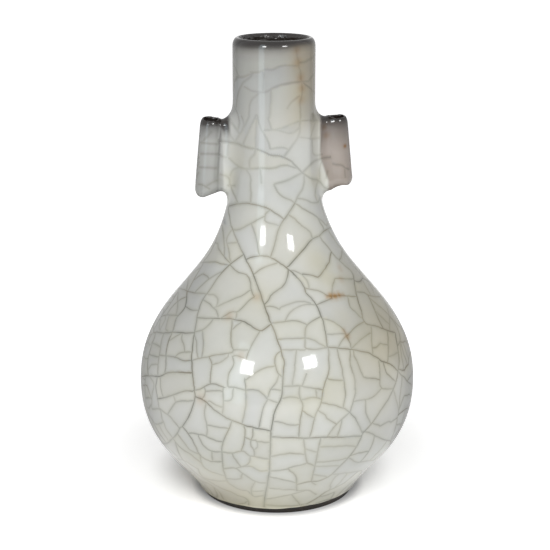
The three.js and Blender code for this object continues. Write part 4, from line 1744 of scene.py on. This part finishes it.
shown_skin = sorted({corner for face in skin_faces for corner in face})
skin_tree = tree_of(all_skin[shown_skin])
crack_slots = {
    "body": "body_glaze",
    "neck": "neck_glaze",
    "left_lug": "left_lug_glaze",
    "right_lug": "right_lug_glaze",
}
for carrier, slot in crack_slots.items():
    strip = crack_strips(net, carrier)
    strip_points = array_of(strip["points"])
    crackle = new_object(carrier + "_crackle", (strip_points * MM).tolist(), strip["faces"])
    crackle.data.materials.append(glaze)
    set_values(crackle, "stain", np.array(strip["stain"]))
    nearest = np.array([shown_skin[skin_tree.find(point)[1]] for point in strip["points"]])
    set_tints(crackle, strip_points, cell_of[nearest])
    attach(crackle, "root")


# Stage, lamps and camera

# An azimuth is from the camera's side, in degrees, and positive to the right. Lengths are metres
# here, and powers are watts.
LAMPS = {
    "left_box": {
        "azimuth": -27, "height": 0.58, "distance": 0.88, "aim_height": 0.12,
        "width": 0.17, "tall": 0.17, "power": 1.8,
    },
    "right_box": {
        "azimuth": 31, "height": 0.61, "distance": 0.82, "aim_height": 0.12,
        "width": 0.18, "tall": 0.14, "power": 1.6,
    },
    "front_wash": {
        "azimuth": 0, "height": 0.65, "distance": 0.95, "aim_height": 0.1,
        "width": 0.6, "tall": 0.6, "power": 5.55, "reflected": False,
    },
    "window": {
        "azimuth": -34, "height": 0.5, "distance": 0.9, "aim_height": 0.5,
        "width": 0.26, "tall": 1.0, "power": 1.6, "colour": (0.72, 0.9, 1.0), "lighting": False,
    },
}
BACK_WASH = {
    "azimuth": 180, "height": 0.2, "distance": 1.2, "aim_height": 0.1,
    "width": 0.8, "tall": 0.4, "power": 6, "reflected": False,
}


def lamp(
    name, azimuth, height, distance, aim_height, width, tall, power,
    colour=(1, 1, 1), reflected=True, lighting=True,
):
    """A soft box that is aimed at a height on the vase's axis."""
    turn = math.radians(azimuth)
    way = RIGHT * math.sin(turn) - AHEAD * math.cos(turn)
    data = bpy.data.lights.new(name, "AREA")
    data.shape = "RECTANGLE"
    data.size = width
    data.size_y = tall
    data.energy = power
    data.color = colour
    place = Vector(way * distance + np.array([0, 0, height]))
    source = bpy.data.objects.new(name, data)
    source.location = place
    aim = Vector((0, 0, aim_height)) - place
    source.rotation_euler = aim.to_track_quat("-Z", "Y").to_euler()
    source.visible_glossy = reflected
    source.visible_diffuse = lighting
    bpy.context.scene.collection.objects.link(source)
    return source


def seen_directly(tree):
    """1 for what the camera, a reflection or glass sees, and 0 for what lights the object."""
    path = add_node(tree, "ShaderNodeLightPath")
    seen = path.outputs["Is Camera Ray"]
    for name in ("Is Glossy Ray", "Is Transmission Ray"):
        seen = combined(tree, "MAXIMUM", seen, path.outputs[name])
    return seen


WHITE = (1, 1, 1, 1)
WORLD_FILL = 0.12
FLOOR_COLOUR = 0.95
FLOOR_SIZE = 12.0

# How much the floor glows for the camera: less behind the foot, which paints its shadow there deeper, and
# more far from the lamps
GLOW_RISE = 0.54
SHADE_CENTRE = AHEAD * 22 - RIGHT * 3
SHADE_START = 37
SHADE_END = 68
FAR_START = 50
FAR_END = 200
FAR_RISE = 0.48

# A painted contact shadow: close to the foot ring the floor is darker all round it
CONTACT_START = 38.5
CONTACT_END = 46.5
CONTACT_LEAST = 0.5


def make_world():
    world = bpy.data.worlds.new("studio")
    tree = empty_tree(world)
    fill = add_node(tree, "ShaderNodeBackground", {"Color": WHITE, "Strength": WORLD_FILL})
    white = add_node(tree, "ShaderNodeBackground", {"Color": WHITE, "Strength": 1.0})
    inputs = {0: seen_directly(tree), 1: fill.outputs[0], 2: white.outputs[0]}
    choice = add_node(tree, "ShaderNodeMixShader", inputs)
    add_node(tree, "ShaderNodeOutputWorld", {"Surface": choice.outputs[0]})
    bpy.context.scene.world = world


def make_floor():
    """A pale floor that glows a little for the camera, so that it is white but keeps the shadow, with a
    painted shadow round and behind the foot.
    """
    half = FLOOR_SIZE / 2
    corners = [(-half, -half, 0), (half, -half, 0), (half, half, 0), (-half, half, 0)]
    floor = new_object("floor", corners, [(0, 1, 2, 3)])
    material = bpy.data.materials.new("floor")
    tree = empty_tree(material)
    place = add_node(tree, "ShaderNodeTexCoord").outputs["Object"]

    def distance_from(centre):
        inputs = {0: place, 1: tuple(centre * MM)}
        return add_node(tree, "ShaderNodeVectorMath", inputs, operation="DISTANCE").outputs["Value"]

    from_foot = distance_from(np.zeros(3))
    # painted contact shadow, in the floor's colour and in its glow
    painted_contact_shadow = ramp(tree, from_foot, CONTACT_START * MM, CONTACT_END * MM, start=CONTACT_LEAST)
    matt = add_node(tree, "ShaderNodeBsdfDiffuse", {"Color": product(tree, painted_contact_shadow, FLOOR_COLOUR)})
    from_shade = distance_from(SHADE_CENTRE)
    near_glow = ramp(tree, from_shade, SHADE_START * MM, SHADE_END * MM, end=GLOW_RISE)
    far_glow = ramp(tree, from_shade, FAR_START * MM, FAR_END * MM, end=FAR_RISE)
    all_glow = combined(tree, "ADD", near_glow, far_glow)
    strength = product(tree, product(tree, seen_directly(tree), all_glow), painted_contact_shadow)
    glow = add_node(tree, "ShaderNodeEmission", {"Strength": strength})
    both = add_node(tree, "ShaderNodeAddShader", {0: matt.outputs[0], 1: glow.outputs[0]})
    add_node(tree, "ShaderNodeOutputMaterial", {"Surface": both.outputs[0]})
    floor.data.materials.append(material)
    return floor


# Grey screens behind the vase. An outline is radius, height and how solid the screen is there, and
# the turn is in degrees from straight behind, with how solid the screen is there.
SCREENS = {
    "far_screen": {
        "outline": ((1100, 0, 1), (1100, 1300, 1)),
        "turns": ((13, 1), (26, 1), (39, 1), (52, 1), (65, 1)),
        "grey": 0.7,
    },
    "low_screen": {
        "outline": ((60, 1, 0), (80, 1, 1), (160, 1, 1), (160, 60, 1), (160, 110, 0)),
        "turns": ((25, 0), (35, 1), (45, 1), (55, 1), (65, 1), (90, 0)),
        "grey": 0.5,
    },
}


def make_screen(name, side, outline, turns, grey):
    """A curved grey screen, which only the gloss sees, so that the vase's edges stay clear."""
    points, faces, solid = [], [], []
    for degrees, turn_share in turns:
        turn = math.radians(degrees)
        way = RIGHT * math.sin(turn) * side + AHEAD * math.cos(turn)
        for radius, height, share in outline:
            points.append(tuple((way * radius + (0, 0, height)) * MM))
            solid.append(turn_share * share)
    count = len(outline)
    for i in range(len(turns) - 1):
        for j in range(count - 1):
            corner = i * count + j
            faces.append((corner, corner + count, corner + count + 1, corner + 1))
    screen = new_object(name, points, faces)
    set_values(screen, "solid", np.array(solid))
    material = bpy.data.materials.new(name)
    tree = empty_tree(material)
    clear = add_node(tree, "ShaderNodeBsdfTransparent")
    glow = add_node(tree, "ShaderNodeEmission", {"Color": (grey, grey, grey, 1)})
    inputs = {0: attribute(tree, "solid"), 1: clear.outputs[0], 2: glow.outputs[0]}
    both = add_node(tree, "ShaderNodeMixShader", inputs)
    add_node(tree, "ShaderNodeOutputMaterial", {"Surface": both.outputs[0]})
    screen.data.materials.append(material)
    screen.visible_camera = False
    screen.visible_diffuse = False
    screen.visible_shadow = False
    screen.visible_transmission = False


def make_camera():
    data = bpy.data.cameras.new("camera")
    data.sensor_width = SENSOR_WIDTH
    data.lens = SENSOR_WIDTH * FOCAL_PIXELS / IMAGE_SIZE
    camera = bpy.data.objects.new("camera", data)
    camera.location = Vector(EYE * MM)
    camera.rotation_euler = (math.pi / 2 - CAMERA_PITCH, 0, -VASE_TURN)
    bpy.context.scene.collection.objects.link(camera)
    bpy.context.scene.camera = camera


make_world()
floor = make_floor()
for screen_name, form in SCREENS.items():
    make_screen("left_" + screen_name, -1, **form)
    make_screen("right_" + screen_name, 1, **form)
make_camera()
for lamp_name, form in LAMPS.items():
    lamp(lamp_name, **form)

# The back's lamp spares the floor, so that it throws no shadow towards the camera
back_wash = lamp("back_wash", **BACK_WASH)
back_wash.visible_camera = False
spared = bpy.data.collections.new("not_lit_from_behind")
spared.objects.link(floor)
spared.collection_objects[0].light_linking.link_state = "EXCLUDE"
back_wash.light_linking.receiver_collection = spared
bpy.context.scene.view_settings.view_transform = "Standard"
